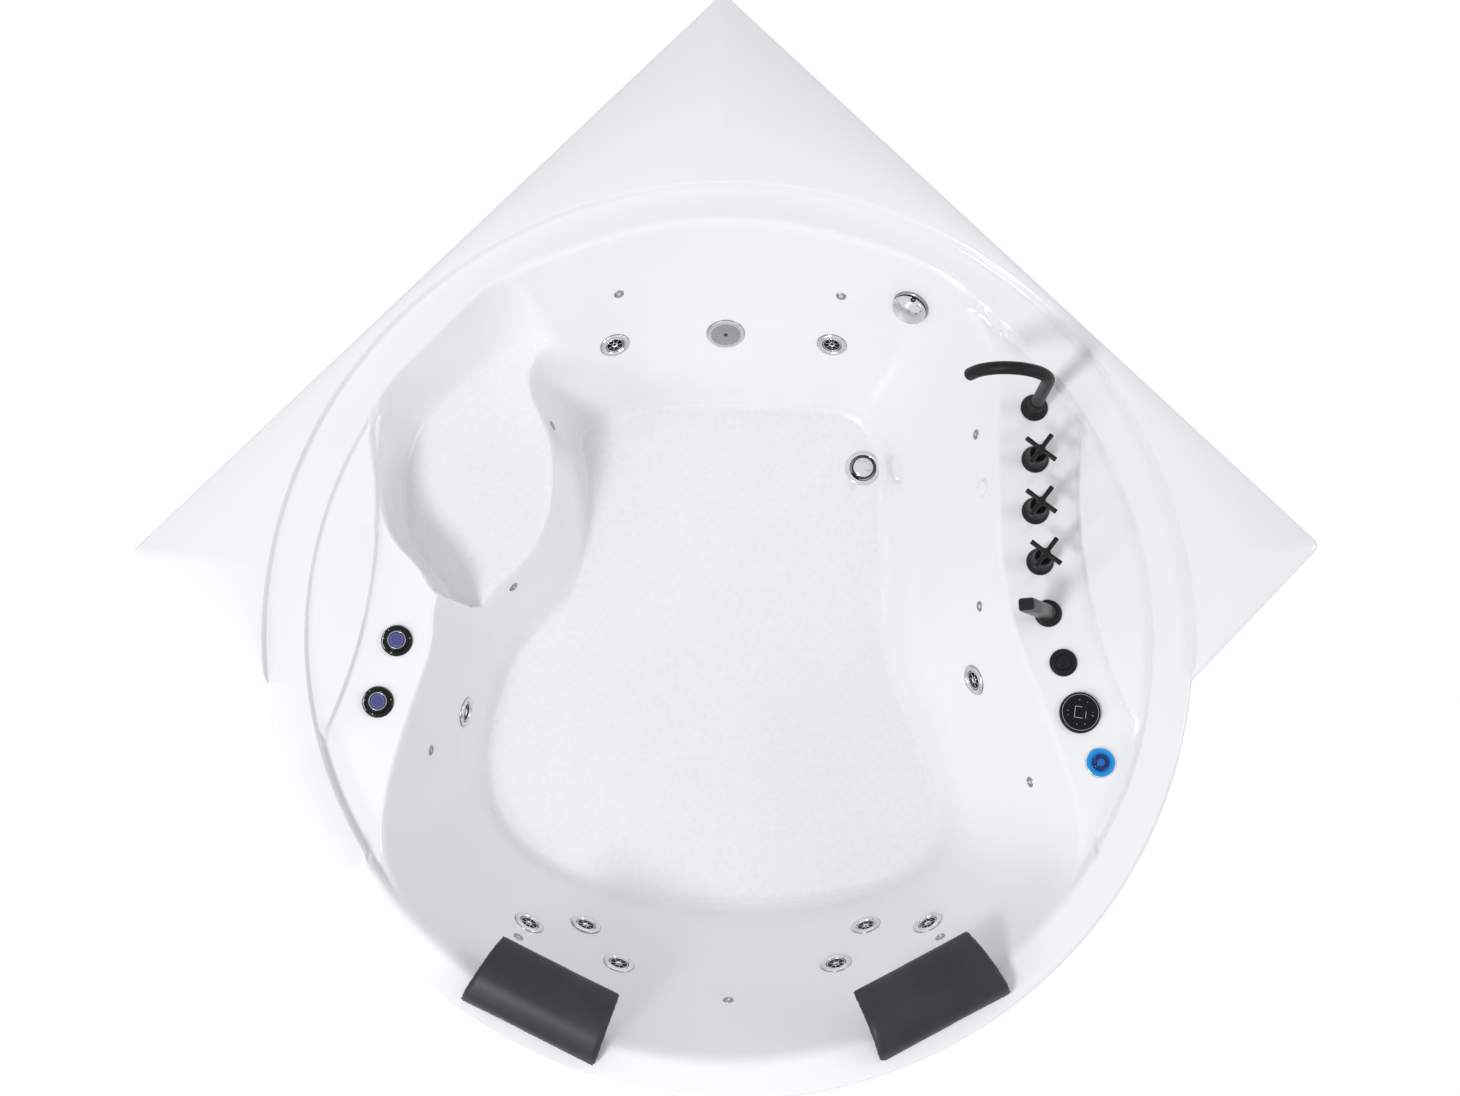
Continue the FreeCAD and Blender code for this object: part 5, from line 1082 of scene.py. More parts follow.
def make_drain():
    """Chrome waste flange and its domed plug."""
    matrix = stand(drain_place())
    flange = Sculpt("chrome")
    flange.turned([(22.5, -26), (25, -26), (25, 0), (35, 0, 0.5), (34, 2.0, 1.2), (30, 3.0, 1.2),
                   (26.6, 3.0, 1.2), (24.6, 1.0, 1.4), (22.5, -2.0, 1.0)], matrix, "chrome", 72)
    flange.turned([(4.1, -26), (7, -26), (7, -22), (4.1, -22)], matrix, "chrome", 32)
    flange.bars_round((30, 150, 270), (17, 3, 4), (14.6, 0, -24), matrix, "chrome", 0.5)
    flange.hand_over("waste_flange", "bath", "chrome", "drain_flange")
    plug = Sculpt("chrome", "rubber")
    # Rubber seal ring round the plug: partly a real seal, its black also paints the shade of the gap between
    # plug and flange.
    plug.turned([(16, 1.2), (20, 1.0), (23, 2.4, 0.6), (23, 4.6, 1.0), (19, 5.6, 0.8), (16, 5.0)],
                matrix, "rubber", 72)
    plug.turned([(0, 1.0), (17, 1.0), (17, 5.2), (19.8, 5.8, 0.5), (19.0, 7.4, 1.2), (13, 9.8, 6.0),
                 (0, 11.0)], matrix, "chrome", 72)
    plug.turned([(0, -40), (4, -40, 0.8), (4, 2), (0, 2)], matrix, "chrome", 24)
    plug.hand_over("waste_plug", "drain_plug", "chrome", "drain_plug")


def make_wall_lamp():
    """Small frosted lamp in the right wall."""
    matrix = places("light")[0]
    lamp = Sculpt("white_plastic")
    lamp.turned([(0, -27), (13, -27), (13, 0), (18, 0, 0.4), (18, 1.4, 0.8), (15.6, 2.2, 0.6), (0, 2.2)],
                matrix, "white_plastic", 56)
    lamp.hand_over("lamp_housing", "bath", "white_plastic", "light_housing")
    lens = Sculpt("frosted")
    lens.turned([(0, 2.2), (14, 2.2, 0.3), (13.2, 4.0, 1.2), (7, 4.8, 3.0), (0, 5.0)], matrix, "frosted", 56)
    lens.hand_over("lamp_lens", "bath", "frosted", "light_lens")


# ================================================================ taps on the right deck
# Plan places about the rim's centre, in mm.
TAPS = {"spout": (559, 408), "cold": (557, 311), "diverter": (554, 215), "hot": (559, 121),
        "shower": (570, 26)}
NECK_R = 11.6                # of the swan neck's tube
BEND_R = 70.0                # of its bend
CROWN = 176.8                # height of the bend's centre above the deck
BEND_END = 158               # degrees of the bend
BACK_NUT = 22.5              # radius of a back nut's corners


def on_deck(x, y, spin=0.0):
    """Matrix on the control deck from a plan place about the rim's centre, in mm."""
    return stand((x * MM, y * MM + PLAN_Y, DECK_TOP * MM), spin=spin)


def make_spout():
    """Swan neck with a dark mouth, its collar and its base."""
    matrix = on_deck(*TAPS["spout"])
    base = Sculpt("black_metal")
    base.turned([(10.6, -14), (14, -34), (14, 0), (25, 0, 0.4), (25, 2.6, 1.2), (22.4, 6.6, 3.0),
                 (17.7, 11.4, 2.5), (14.5, 15.6, 2.0), (14.5, 34, 0.8), (10.6, 34)], matrix, "black_metal", 64)
    base.back_nut(20 / math.cos(math.radians(30)), matrix)
    base.hand_over("spout_foot", "bath", "black_metal", "spout_base")
    neck = Sculpt("black_metal", "black_plastic")
    matrix = on_deck(*TAPS["spout"], spin=176.0)

    def on_bend(degrees):
        x, z = polar(BEND_R, 180 - degrees)
        return Vector((BEND_R + x, 0, CROWN + z))
    last = math.radians(180 - BEND_END)
    way = Vector((math.sin(last), 0, -math.cos(last)))
    path = [(0, 0, z) for z in (11, 39, 41, 60, 120)] + [on_bend(a) for a in range(0, BEND_END - 5, 6)]
    path += [on_bend(BEND_END) + way * reach for reach in (0, 7, 13.2, 13.9)]
    neck.tube(path, [10.4, 10.4] + [NECK_R] * (len(path) - 3) + [10.8], matrix, "black_metal", 40)
    mouth = Matrix.Translation(on_bend(BEND_END) + way * 13.4)
    mouth @= way.to_track_quat("Z", "Y").to_matrix().to_4x4()
    neck.turned([(0, -6), (8.2, -6), (8.2, 0.55), (0, 0.55)], matrix @ mouth, "black_plastic", 32)
    neck.turned([(10.3, 34.3), (13.5, 34.3, 0.8), (13.5, 42, 1.0), (10.3, 42)], matrix, "black_metal", 48)
    neck.hand_over("spout_neck", "spout", "black_metal", "spout")


def make_handles():
    """Three cross handles over their domed bases."""
    bases = Sculpt("black_metal")
    for name in ("cold", "diverter", "hot"):
        matrix = on_deck(*TAPS[name])
        bases.turned([(5.1, 28), (8.8, 29), (8.9, 32, 1.0), (13.2, 32, 1.0), (13.6, 43.4, 0.6),
                      (15.0, 44, 0.8), (16, 42, 1.0), (16.2, 24, 4.0), (19.0, 12.0, 4.0), (22.4, 6.6, 2.4),
                      (25, 2.6, 1.2), (25, 0), (14, 0), (14, -34), (15, -34), (15, -60), (10.5, -66),
                      (10.5, -84), (5.1, -84)], matrix, "black_metal", 64)
        bases.back_nut(BACK_NUT, matrix)
        handle = Sculpt("black_metal")
        handle.turned([(0, 29), (5, 29), (5, 43), (6.4, 46, 1.5), (6.6, 70, 2.0), (8, 75.5, 1.4),
                       (8, 81.6, 1.6), (5.6, 84, 1.2), (0, 84)], matrix, "black_metal", 40)
        for angle in (52, 142, 232, 322):
            handle.tube([(x, 0, 0) for x in (4, 14, 26, 31.6, 32.7, 33)], [4.2, 4.2, 4.5, 4.6, 4.2, 3.5],
                        spun(matrix, angle) @ Matrix.Translation((0, 0, 78)), "black_metal", 24)
        handle.hand_over("cross_" + name, "handle_" + name, "black_metal", "handle_" + name)
    bases.hand_over("valve_bases", "bath", "black_metal", "valve_bodies")


def make_shower():
    """Stick hand shower standing aslant in its holder."""
    lean, heading = math.radians(24), math.radians(190)
    way = Vector((math.sin(lean) * math.cos(heading), math.sin(lean) * math.sin(heading), math.cos(lean)))
    deck = on_deck(*TAPS["shower"])
    slant = stand(deck @ Vector((0, 0, 4)), way)
    holder = Sculpt("black_metal")
    holder.turned([(0, -34), (14, -34), (14, 0), (25, 0, 0.4), (25, 2.8, 1.2), (22, 6, 2.0), (17, 7.4, 1.5),
                   (0, 7.4)], deck, "black_metal", 64)
    holder.turned([(9.3, 7), (11, 3.4), (15, 3.4), (15, 25.4, 0.8), (14, 26, 0.5), (9.3, 26)],
                  slant, "black_metal", 48)
    holder.back_nut(BACK_NUT, deck)
    holder.hand_over("shower_socket", "bath", "black_metal", "shower_holder")
    hand = Sculpt("stick", "black_metal")
    hand.turned([(0, 7.2), (9, 7.2, 0.6), (9, 28), (0, 28)], slant, "black_metal", 40)
    hand.loft([rounded_ring(30 - 2 * inset, 24 - 2 * inset, 6 - inset * 0.6, z) for z, inset in (
        (26.3, 1.4), (27.2, 0.5), (28.6, 0.0), (84, 0.0), (142.6, 0.0), (143.6, 0.5), (143.9, 1.2))],
        slant, "stick")
    hand.loft([rounded_ring(26.6, 20.6, 5, z) for z in (143.2, 144.28)], slant, "black_metal")
    hand.hand_over("shower_stick", "hand_shower", "stick_grey", "hand_shower")


# ================================================================ controls
SHANK = [(15, 0), (15, -30), (1, -30), (1, 1)]     # end of a bezel's profile, in mm
# Plan places of the controls about the rim's centre, in mm.
AIR_BUTTON, PANEL, LAMP_BUTTON = (594, -64), (620, -155), (653, -245)
AIR_DIALS = (("front", -626, -126), ("rear", -594, -16))


def make_air_button():
    """Black push button and its bezel."""
    deck = on_deck(*AIR_BUTTON)
    bezel = Sculpt("black_plastic")
    bezel.turned([(14.3, 1), (14.3, 5.6, 0.5), (16, 6.1, 0.8), (22.5, 5.6, 1.5), (25, 3.0, 1.6),
                  (25, 0)] + SHANK, deck, "black_plastic", 64)
    bezel.hand_over("air_button_rim", "bath", "black_plastic", "air_button_bezel")
    cap = Sculpt("black_plastic")
    cap.turned([(0, 4.4), (14, 4.4), (14, 6.4, 0.8), (12, 8.0, 1.0), (9.0, 7.6, 1.0), (7.6, 7.9, 0.8),
                (0, 8.4)], deck, "black_plastic", 48)
    cap.hand_over("air_button_cap", "air_button", "black_plastic", "air_button")


def make_panel():
    """Glass control panel with its marks."""
    deck = on_deck(*PANEL)
    house = Sculpt("black_plastic")
    house.turned([(0, -30), (15, -30), (15, 0), (37, 0, 0.3), (37, 4.6, 1.2), (35.6, 8.0, 0.9),
                  (34.6, 8.0, 0.3), (34.6, 6.0), (0, 6.0)], deck, "black_plastic", 72)
    house.hand_over("panel_case", "bath", "black_plastic", "panel_housing")
    glass = Sculpt("glass", "mark")
    glass.turned([(0, 6.0), (34.5, 6.0), (34.5, 7.9, 0.5), (33.6, 8.35, 0.6), (0, 8.38)], deck, "glass", 72)
    glass.turned([(32.2, 8.3), (32.9, 8.3), (32.9, 8.42), (32.2, 8.42)], deck, "mark", 72)
    marks = [((0.9, 20), (-10, 0)), ((12, 0.9), (-4, 10)), ((0.9, 13), (10, -3.5)), ((15, 0.9), (-2.5, -10))]
    marks += [((length, 0.8), polar(22.5, angle)) for angle, length in (
        (100, 2.6), (62, 1.4), (-8, 3.4), (8, 1.2), (-62, 2.2), (-100, 1.6), (180, 2.4), (200, 1.4))]
    for size, at in marks:
        glass.bar((*size, 0.05), (*at, 8.37), spun(deck, -9), "mark", 0.02)
    glass.hand_over("panel_face", "bath", "black_glass", "panel_glass")


def make_lamp_button():
    """Blue lit push button and its rim."""
    deck = on_deck(*LAMP_BUTTON)
    rim = Sculpt("satin", "blue_lamp")
    rim.turned([(14.3, 1), (14.3, 4.0, 0.4), (25.5, 5.4, 1.2), (27.8, 3.0, 1.4), (28, 0)] + SHANK,
               deck, "satin", 64)
    rim.turned([(14.4, 3.6), (25.4, 4.4), (25.8, 5.6, 0.6), (24, 6.0, 1.0), (17, 5.0, 1.2), (14.6, 4.8, 0.4)],
               deck, "blue_lamp", 64)
    rim.hand_over("lamp_button_rim", "bath", "lamp_blue", "lamp_button_bezel")
    cap = Sculpt("blue_lamp")
    cap.turned([(0, 4.4), (14, 4.4), (14, 6.5, 0.6), (12.2, 8.2, 1.0), (9.6, 7.2, 0.8), (8.2, 7.2, 0.6),
                (6.6, 8.2, 1.0), (0, 8.5)], deck, "blue_lamp", 48)
    cap.hand_over("lamp_button_cap", "lamp_button", "lamp_blue", "lamp_button")


def make_air_dials():
    """Two air knobs with violet lenses, in bezels with ticks."""
    bezels = Sculpt("gloss_black", "satin")
    for name, x, y in AIR_DIALS:
        deck = on_deck(x, y)
        bezels.turned([(20.3, 1), (20.3, 6.6, 0.5), (25.5, 7.0, 1.2), (28, 4.0, 1.6), (28, 0)] + SHANK,
                      deck, "gloss_black", 72)
        bezels.bars_round((8, 128, 172, 248), (2.8, 0.7, 0.12), (23.6, 0, 7.0), deck, "satin", 0.04)
        bezels.bars_round(range(150, 222, 9), (0.9, 4.2, 0.3), (25.6, 0, 6.75), deck, "satin", 0.1)
        dial = Sculpt("steel", "gloss_black", "violet_" + name)
        dial.turned([(14.9, 2), (16.4, 9.8), (18.6, 11.0, 0.8), (20, 9.0, 0.8), (20, 1.2), (14.9, 1.2)],
                    deck, "gloss_black", 64)
        dial.turned([(13.4, 8.6), (14.6, 11.0, 0.5), (16.3, 11.0, 0.5), (16.6, 9.0), (13.4, 1.4)],
                    deck, "steel", 64)
        dial.turned([(0, 1.4), (13.5, 1.4), (13.5, 8.6, 0.3), (12.6, 9.4, 0.6), (0, 9.7)],
                    deck, "violet_" + name, 56)
        dial.hand_over("air_dial_" + name, "air_knob_" + name, "lamp_violet", "air_knob_" + name)
    bezels.hand_over("air_dial_bezels", "bath", "black_plastic", "air_knob_bezels")


def make_side_light():
    """Domed lens of the coloured light in the skirt's left end, with a thin rim."""
    way = Vector((-1, -1, 0)).normalized()
    lamp = Sculpt("side_lamp", "satin")
    matrix = stand(Vector(middle_of("side_light")) - way * (8 * MM), way)
    lamp.turned([(0, 0), (37.5, 0), (37.5, 5.6, 1.5), (31, 12.5, 6.0), (17, 15.8, 6.0), (0, 15.9)],
                matrix, "side_lamp", 64)
    lamp.turned([(37.4, 0), (42, 0), (42, 4.0, 1.4), (39.5, 6.2, 1.2), (37.4, 5.4, 0.4)], matrix, "satin", 64)
    lamp.hand_over("side_lamp_lens", "bath", "lamp_blue", "side_light")


# ================================================================ head rests
REST = {"left": -117.0, "right": -63.0}    # azimuths
REST_R = 796.0               # radius of their outer foot, in mm
REST_HALF = (130.0, 115.0)   # half their length at the outer foot and at the inner edge
# Upper and lower lines of a head rest's section in mm, from the outer foot to the inner edge.
REST_UPPER = [(0, 9), (-13.2, 37.4), (-44.9, 52), (-95, 41.6), (-132, 4)]
REST_LOWER = [(-3, 4), (-21.1, 18.2), (-44.9, 32), (-92.4, 21.6), (-130, -7)]
SETTLE_FRAMES = 12
SETTLE_LIMIT = 0.0022        # furthest that the skin may settle, in metres


def on_rim(azimuth):
    """Matrix at a head rest's outer foot, with X pointing outwards."""
    turn = Matrix.Rotation(math.radians(azimuth), 4, "Z")
    at = turn @ Vector((REST_R * MM, 0, 0))
    return Matrix.Translation((at.x, at.y + PLAN_Y, RING_TOP * MM)) @ turn @ Matrix.Scale(MM, 4)


def through(points, count):
    """Smooth open curve through points, evenly spaced along its parameter."""
    p = np.array(points, float)
    t = np.concatenate([[0], np.cumsum(np.linalg.norm(np.diff(p, axis=0), axis=1))])
    s = np.linspace(0, t[-1], count)
    k = np.clip(np.searchsorted(t, s, side="right") - 1, 0, len(t) - 2)
    gap = (t[k + 1] - t[k])[:, None]
    return hermite(p, np.gradient(p, t, axis=0), k, (s - t[k])[:, None] / gap, gap)


def rounded_end(share):
    """Thickness towards an edge, 0 at the edge and 1 from a share of 1 on, as a quarter circle."""
    return math.sqrt(max(0.0, 1 - (1 - min(1.0, share)) ** 2))


def make_rest(name, azimuth):
    """One arched pad: skin drawn over a moulded core, plump in the middle and thin at its edges."""
    n, across = 31, 41
    top = through(REST_UPPER, n)
    low = through(REST_LOWER, n)
    half = REST_HALF[0] - (REST_HALF[0] - REST_HALF[1]) * top[:, 0] / REST_UPPER[-1][0]
    corners = [(i, top[i]) for i in range(n)] + [(i, low[i]) for i in reversed(range(n))]
    rings = []
    for v in np.linspace(-1, 1, across):
        plump = (0.9 + 0.10 * (1 - v * v)) * (0.25 + 0.75 * rounded_end((1 - abs(v)) / 0.045))
        ring = []
        for i, point in corners:
            reach = plump * (0.35 + 0.65 * rounded_end(min(i, n - 1 - i) / 3.0))
            middle = (top[i] + low[i]) / 2
            place = middle + (point - middle) * reach
            ring.append(Vector((place[0], half[i] * v, place[1])))
        rings.append(ring)
    pad = Sculpt("skin")
    pad.loft(rings, on_rim(azimuth), "skin")
    piece = pad.make("rest_pad_" + name, 60)
    bpy.context.view_layer.update()
    shrink_on_core(piece)
    finish_piece(piece, "bath", "black_leather", "head_rest_" + name)


def coordinates(mesh):
    """All points of a mesh as an array."""
    out = np.empty(len(mesh.vertices) * 3)
    mesh.vertices.foreach_get("co", out)
    return out.reshape(-1, 3)


def shrink_on_core(piece):
    """Lets the skin settle as an inflated cloth and draws it smooth."""
    remesh = piece.modifiers.new("even", "REMESH")
    remesh.mode = "VOXEL"
    remesh.voxel_size = 0.0042
    smooth = piece.modifiers.new("smooth", "SMOOTH")
    smooth.factor = 0.5
    smooth.iterations = 2
    bake(piece)
    cloth = piece.modifiers.new("skin", "CLOTH")
    for key, value in (("use_pressure", True), ("uniform_pressure_force", 3.0), ("tension_stiffness", 60),
                       ("compression_stiffness", 60), ("shear_stiffness", 30), ("bending_stiffness", 8)):
        setattr(cloth.settings, key, value)
    cloth.settings.effector_weights.gravity = 0
    cloth.point_cache.frame_start = 1
    cloth.point_cache.frame_end = SETTLE_FRAMES
    scene = bpy.context.scene
    for frame_number in range(1, SETTLE_FRAMES + 1):
        scene.frame_set(frame_number)
    before = coordinates(piece.data)
    move = coordinates(piece.evaluated_get(bpy.context.evaluated_depsgraph_get()).to_mesh()) - before
    piece.modifiers.clear()
    scene.frame_set(1)
    far = np.linalg.norm(move, axis=1)
    move *= np.minimum(1.0, SETTLE_LIMIT / np.maximum(far, 1e-9))[:, None]
    piece.data.vertices.foreach_set("co", (before + move).ravel())
    subdivide = piece.modifiers.new("fine", "SUBSURF")
    subdivide.levels = subdivide.render_levels = 1
    bake(piece)
    piece.data.polygons.foreach_set("use_smooth", [True] * len(piece.data.polygons))


def bake(piece):
    """Modifiers made real."""
    shown = piece.evaluated_get(bpy.context.evaluated_depsgraph_get())
    mesh = bpy.data.meshes.new_from_object(shown)
    piece.modifiers.clear()
    piece.data = mesh


def make_rest_plates():
    """Folded plates that carry the head rests, each with two screws on the rim."""
    plates = Sculpt("black_metal", "satin")
    for azimuth in REST.values():
        matrix = on_rim(azimuth)
        plates.bar((26, 170, 3), (-19, 0, 1.5), matrix, "black_metal", 1.0)
        plates.bar((3, 170, 12), (-23.5, 0, 9), matrix, "black_metal", 1.0)
        for y in (-60, 60):
            plates.turned([(0, 3), (4.4, 3), (4.0, 4.6, 0.6), (2.4, 5.4, 0.6), (0, 5.6)],
                          matrix @ Matrix.Translation((-14, y, 0)), "satin", 20)
    plates.hand_over("rest_plates", "bath", "black_metal", "rest_brackets")


# ================================================================ pump
AXIS_OVER_FOOT = 84.0        # height of the motor's axis over the wet end's lowest point, in mm
FINS = 36
FIN_FOOT = 0.0635            # distance of the fins from the motor's axis, in metres


def make_pump():
    """Motor with its foot and its cooling fins."""
    low, high = (Vector(v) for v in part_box("pump_motor"))
    length = (high.x - low.x) / MM
    axis_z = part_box("pump_wet_end")[0][2] + AXIS_OVER_FOOT * MM
    centre = Vector((low.x, (low.y + high.y) / 2, axis_z))
    matrix = stand(centre, (1, 0, 0))
    motor = Sculpt("motor")
    motor.turned([(0, 0), (60, 0, 3), (66, 4, 3), (66, 40, 1), (64, 40), (64, length - 10),
                  (71.5, length - 10, 1.5), (71.5, length, 1), (0, length)], matrix, "motor", 72)
    base_top = axis_z / MM - 58
    floor = low.z / MM
    middle = (low.x / MM + length * 0.5, centre.y / MM, (base_top + floor) / 2)
    motor.bar((length * 0.56, 104, base_top - floor), middle, Matrix.Scale(MM, 4), "motor", 3.0)
    piece = motor.make("motor_case")
    fin = Sculpt("motor")
    fin.bar((8.4, 2.0, length - 64), (3.6, 0, 46 + (length - 64) / 2), stand((0, 0, 0)), "motor", 0.6)
    fins = through_group(fin.make("motor_fin"), fin_group(), matrix @ Matrix.Scale(1 / MM, 4), Count=FINS,
                         Case_radius=FIN_FOOT, Finish=FINISHES["motor"])
    work = bmesh.new()
    work.from_mesh(piece.data)
    work.from_mesh(fins.data)
    work.to_mesh(piece.data)
    work.free()
    bpy.data.objects.remove(fins)
    crisp(piece.data, 35)
    finish_piece(piece, "bath", "motor_paint", "pump_motor")


# ================================================================ frame
POST_TOP_Z, POST_TOP_Y = RING_TOP - 20, -700.0    # the front posts' tops lie above and in front of these
POST_ROOM = 9.0              # from a post's top up to the shell's face


def make_frame():
    """The welded frame, with the tops of its front posts cut to the curve under the shell's rim."""
    well = Bowl(WELL_RIM, WELL_BASE, WELL_FLOOR, WELL_DRAFT)
    node = NODES["support_frame"]
    work = bmesh.new()
    work.from_mesh(node.data)
    work.transform(node.matrix_world)
    bmesh.ops.remove_doubles(work, verts=work.verts, dist=0.00001)
    for vert in work.verts:
        x, y, z = vert.co / MM
        if z > POST_TOP_Z and y < POST_TOP_Y:
            wall = float(well.height(np.array([x]), np.array([y - PLAN_Y / MM]))[0])
            vert.co.z = min(z, wall - POST_ROOM) * MM
    piece = add_mesh("frame_bars", [], [], ["frame_steel"])
    work.to_mesh(piece.data)
    work.free()
    crisp(piece.data, 30)
    finish_piece(piece, "bath", "frame_paint", "support_frame")


# ================================================================ stage
WHITE = (1, 1, 1, 1)
LAMP_AIM = (0.0, 0.0, 0.4)
CAMERA_AT = (-0.1861, -0.954 + PLAN_Y, 5.570)
CAMERA_TURN = (9.591, 77.372, 9.038)       # heading, fall and roll in degrees


def make_floor():
    """Pale floor that shows white to the camera and in reflections, and takes the object's shadow."""
    f = Finish("studio_floor", (0.86, 0.86, 0.86), 0.9)
    f.set("Base Color", f.colours(f.grain(1.5), (0.3, (0.855, 0.855, 0.855)), (0.7, (0.865, 0.865, 0.865))))
    seen = f.node("ShaderNodeLightPath", out="Is Camera Ray")
    seen = seen + f.node("ShaderNodeLightPath", out="Is Glossy Ray")
    white = f.node("ShaderNodeEmission", {}, {"Color": WHITE, "Strength": 1.0})
    mix = f.node("ShaderNodeMixShader", {}, {0: seen.clamp(), 1: f.shader.outputs[0], 2: white})
    f.tree.links.new(mix.value, f.tree.nodes["Material Output"].inputs["Surface"])
    FINISHES["floor"] = f.material
    corners = [(-9, -9, 0), (9, -9, 0), (9, 9, 0), (-9, 9, 0)]
    add_mesh("studio_floor", corners, [(0, 1, 2, 3)], ["floor"])


def make_world(surround):
    """White surround: full white to the camera and in reflections, weaker as light."""
    world = bpy.data.worlds.new("studio")
    bpy.context.scene.world = world
    world.use_nodes = True
    tree = world.node_tree
    ground = tree.nodes["Background"]
    ground.inputs["Color"].default_value = WHITE
    ground.inputs["Strength"].default_value = surround
    bright = tree_node(tree, "ShaderNodeBackground", {"Color": WHITE, "Strength": 1.0})
    rays = tree_node(tree, "ShaderNodeLightPath").node.outputs
    seen = tree_node(tree, "ShaderNodeMath", {0: rays["Is Camera Ray"], 1: rays["Is Glossy Ray"]},
                     operation="MAXIMUM")
    mix = tree_node(tree, "ShaderNodeMixShader", {0: seen, 1: ground.outputs[0], 2: bright})
    tree.links.new(mix, tree.nodes["World Output"].inputs["Surface"])


def make_stage(sizes):
    """Floor, white surround, soft lamps and the photograph's camera."""
    scene = bpy.context.scene
    make_floor()
    make_world(sizes.surround)
    for name, place, size, power in (("key_lamp", (-2.0, -2.2, 4.6), 1.0, sizes.key_power),
                                     ("low_lamp", (-2.8, -3.0, 2.4), 0.9, sizes.low_power),
                                     ("side_lamp", (3.8, 0.0, 3.0), 1.6, sizes.side_power)):
        data = bpy.data.lights.new(name, "AREA")
        data.shape = "DISK"
        data.size = size
        data.energy = power
        lamp = bpy.data.objects.new(name, data)
        lamp.location = place
        lamp.rotation_euler = (Vector(LAMP_AIM) - Vector(place)).to_track_quat("-Z", "Y").to_euler()
        scene.collection.objects.link(lamp)
    camera_data = bpy.data.cameras.new("camera")
    camera_data.sensor_width = 36
    camera_data.lens = sizes.lens
    camera_data.clip_end = 60
    camera = bpy.data.objects.new("camera", camera_data)
    yaw, pitch, roll = (math.radians(v) for v in CAMERA_TURN)
    ahead = Vector((math.sin(yaw) * math.cos(pitch), math.cos(yaw) * math.cos(pitch), -math.sin(pitch)))
    right = ahead.cross(Vector((0, 0, 1))).normalized()
    up = right.cross(ahead)
    across = right * math.cos(roll) + up * math.sin(roll)
    upward = up * math.cos(roll) - right * math.sin(roll)
    turn = Matrix((across, upward, -ahead)).transposed().to_4x4()
    turn.translation = Vector(CAMERA_AT)
    camera.matrix_world = turn
    scene.collection.objects.link(camera)
    scene.camera = camera
    scene.view_settings.view_transform = "Standard"


# ================================================================ settings, operators and panel
class BathSizes(bpy.types.PropertyGroup):
    """Sizes and colours that a user may change."""
    acrylic_colour: bpy.props.FloatVectorProperty(
        name="Acrylic", description="Colour of the moulded shell and skirt", subtype="COLOR", size=3,
        default=(0.861, 0.867, 0.897), min=0, max=1)
    tap_colour: bpy.props.FloatVectorProperty(
        name="Taps", description="Colour of the taps' matt coat", subtype="COLOR", size=3,
        default=(0.011, 0.011, 0.012), min=0, max=1)
    rest_colour: bpy.props.FloatVectorProperty(
        name="Head rests", description="Colour of the head rests' skin", subtype="COLOR", size=3,
        default=(0.026, 0.026, 0.030), min=0, max=1)
    spokes: bpy.props.IntProperty(
        name="Spokes", description="Directions in which the shell is divided", default=264, min=90, max=600)
    wall_rows: bpy.props.IntProperty(
        name="Wall rows", description="Rows of faces up the shell's wall", default=64, min=20, max=120)
    roll: bpy.props.FloatProperty(
        name="Rim roll", description="Softness of the edge between deck and well, in mm", default=20.0, min=2)
    nose: bpy.props.FloatProperty(
        name="Seat nose", description="Softness of the seat's front edge, in mm", default=17.0, min=2)
    step_width: bpy.props.FloatProperty(
        name="Step width", description="Width of a moulded step in the deck, in mm", default=7.0, min=1)
    lens: bpy.props.FloatProperty(
        name="Lens", description="Focal length of the photograph's camera, in mm", default=70.25, min=10)
    surround: bpy.props.FloatProperty(
        name="Surround", description="Light from the white surround", default=0.57, min=0)
    key_power: bpy.props.FloatProperty(
        name="Key lamp", description="Power of the main lamp, high at the front left", unit="POWER",
        default=103.0, min=0)
    low_power: bpy.props.FloatProperty(
        name="Low lamp", description="Power of the lamp low at the front left", unit="POWER", default=27.0,
        min=0)
    side_power: bpy.props.FloatProperty(
        name="Side lamp", description="Power of the lamp at the right", unit="POWER", default=26.0, min=0)


class BATH_OT_finishes(bpy.types.Operator):
    """Make every finish and put it on the CAD pieces"""
    bl_idname = "bath.finishes"
    bl_label = "Finishes"

    def execute(self, context):
        make_finishes(context.scene.bath_sizes)
        for name, node in NODES.items():
            key = next((key for key, names in CAD_FINISH.items() if name in names.split()), "chrome")
            node.data.materials.clear()
            node.data.materials.append(FINISHES[key])
        return {"FINISHED"}


class BATH_OT_shell(bpy.types.Operator):
    """Make the moulded shell"""
    bl_idname = "bath.shell"
    bl_label = "Moulded shell"

    def execute(self, context):
        make_bath_shell(context.scene.bath_sizes)
        return {"FINISHED"}


class BATH_OT_wall(bpy.types.Operator):
    """Make the jets, outlets, suction, overflow, waste and lamp in the wall"""
    bl_idname = "bath.wall"
    bl_label = "Wall fittings"

    def execute(self, context):
        make_jets()
        make_minis()
        make_suction()
        make_overflow()
        make_drain()
        make_wall_lamp()
        return {"FINISHED"}


class BATH_OT_taps(bpy.types.Operator):
    """Make the spout, the cross handles and the hand shower"""
    bl_idname = "bath.taps"
    bl_label = "Taps"

    def execute(self, context):
        make_spout()
        make_handles()
        make_shower()
        return {"FINISHED"}


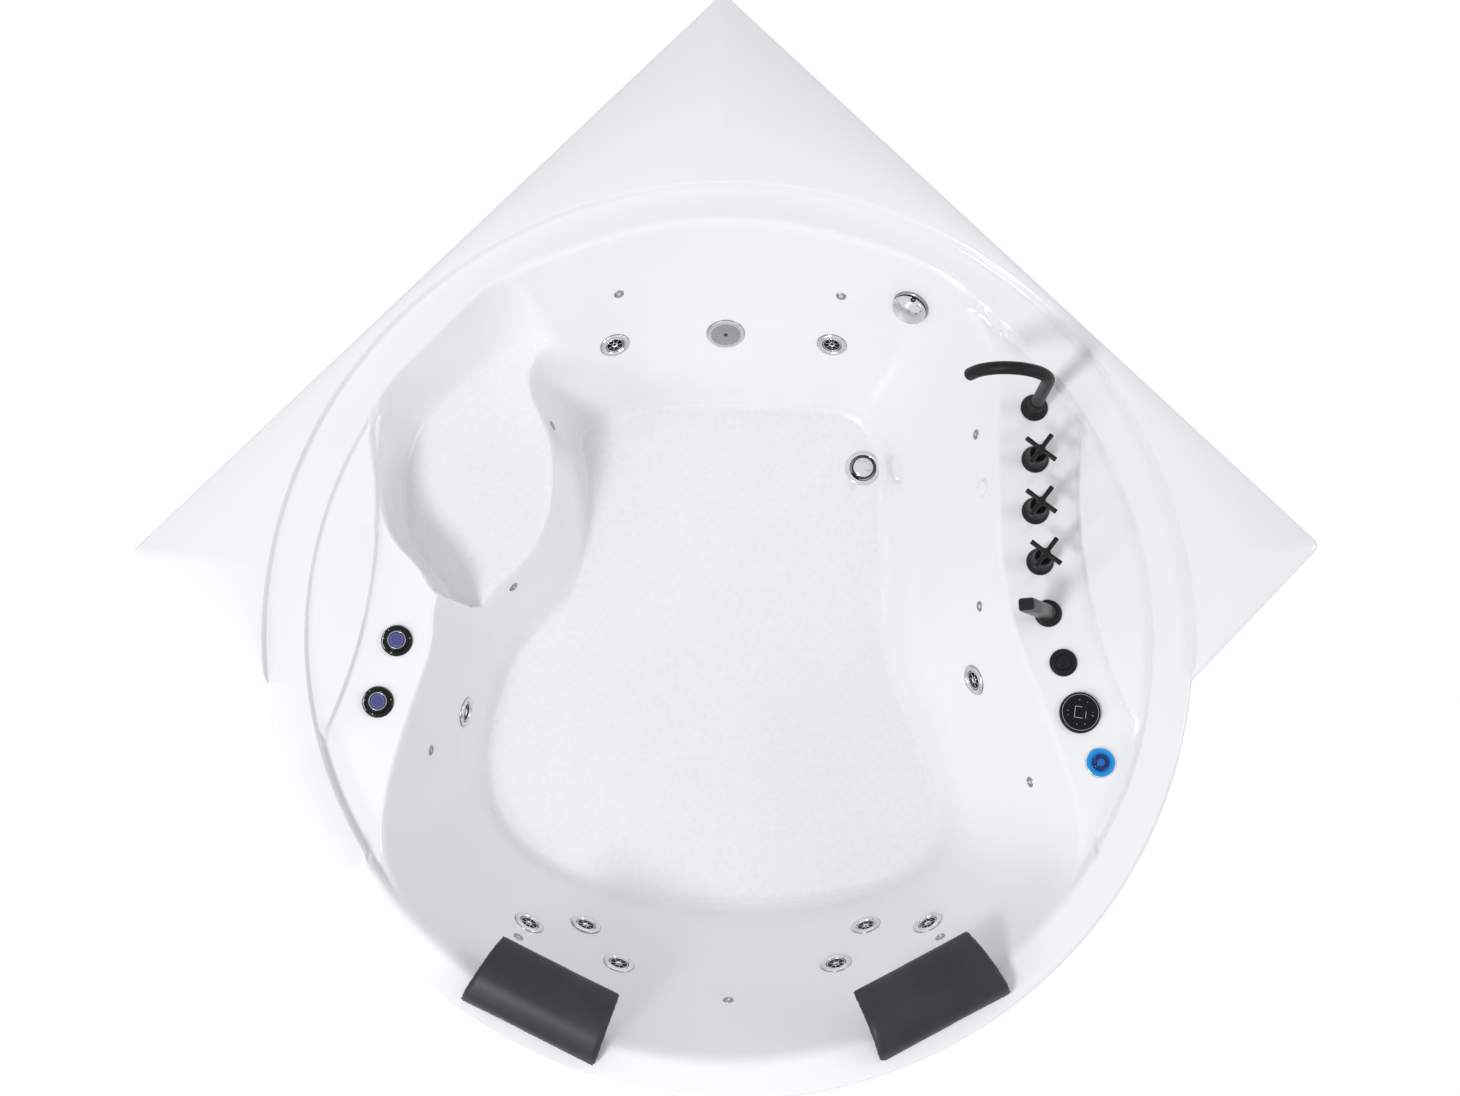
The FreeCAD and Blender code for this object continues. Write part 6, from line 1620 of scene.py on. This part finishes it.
class BATH_OT_controls(bpy.types.Operator):
    """Make the buttons, the glass panel, the air knobs and the side light"""
    bl_idname = "bath.controls"
    bl_label = "Controls"

    def execute(self, context):
        make_air_button()
        make_panel()
        make_lamp_button()
        make_air_dials()
        make_side_light()
        return {"FINISHED"}


class BATH_OT_rests(bpy.types.Operator):
    """Make the head rests and their plates"""
    bl_idname = "bath.rests"
    bl_label = "Head rests"

    def execute(self, context):
        for name, azimuth in REST.items():
            make_rest(name, azimuth)
        make_rest_plates()
        return {"FINISHED"}


class BATH_OT_pump(bpy.types.Operator):
    """Make the pump's motor with its cooling fins"""
    bl_idname = "bath.pump"
    bl_label = "Pump"

    def execute(self, context):
        make_pump()
        return {"FINISHED"}


class BATH_OT_frame(bpy.types.Operator):
    """Make the welded frame under the shell"""
    bl_idname = "bath.frame"
    bl_label = "Frame"

    def execute(self, context):
        make_frame()
        return {"FINISHED"}


class BATH_OT_stage(bpy.types.Operator):
    """Make the floor, the lamps and the camera"""
    bl_idname = "bath.stage"
    bl_label = "Stage"

    def execute(self, context):
        make_stage(context.scene.bath_sizes)
        return {"FINISHED"}


OPERATORS = (BATH_OT_finishes, BATH_OT_shell, BATH_OT_wall, BATH_OT_taps, BATH_OT_controls, BATH_OT_rests,
             BATH_OT_pump, BATH_OT_frame, BATH_OT_stage)


class BATH_PT_panel(bpy.types.Panel):
    """Sizes, colours and pieces of the bathtub"""
    bl_label = "Bathtub"
    bl_space_type = "VIEW_3D"
    bl_region_type = "UI"
    bl_category = "Bathtub"

    def draw(self, context):
        sizes = context.scene.bath_sizes
        for name in sizes.bl_rna.properties.keys():
            if name not in {"rna_type", "name"}:
                self.layout.prop(sizes, name)
        for operator in OPERATORS:
            self.layout.operator(operator.bl_idname)


CLASSES = (BathSizes, *OPERATORS, BATH_PT_panel)


def register():
    for cls in CLASSES:
        bpy.utils.register_class(cls)
    bpy.types.Scene.bath_sizes = bpy.props.PointerProperty(type=BathSizes)


def unregister():
    del bpy.types.Scene.bath_sizes
    for cls in reversed(CLASSES):
        bpy.utils.unregister_class(cls)


def main():
    register()
    for operator in OPERATORS:
        group, name = operator.bl_idname.split(".")
        getattr(getattr(bpy.ops, group), name)()


if __name__ == "__main__":
    main()
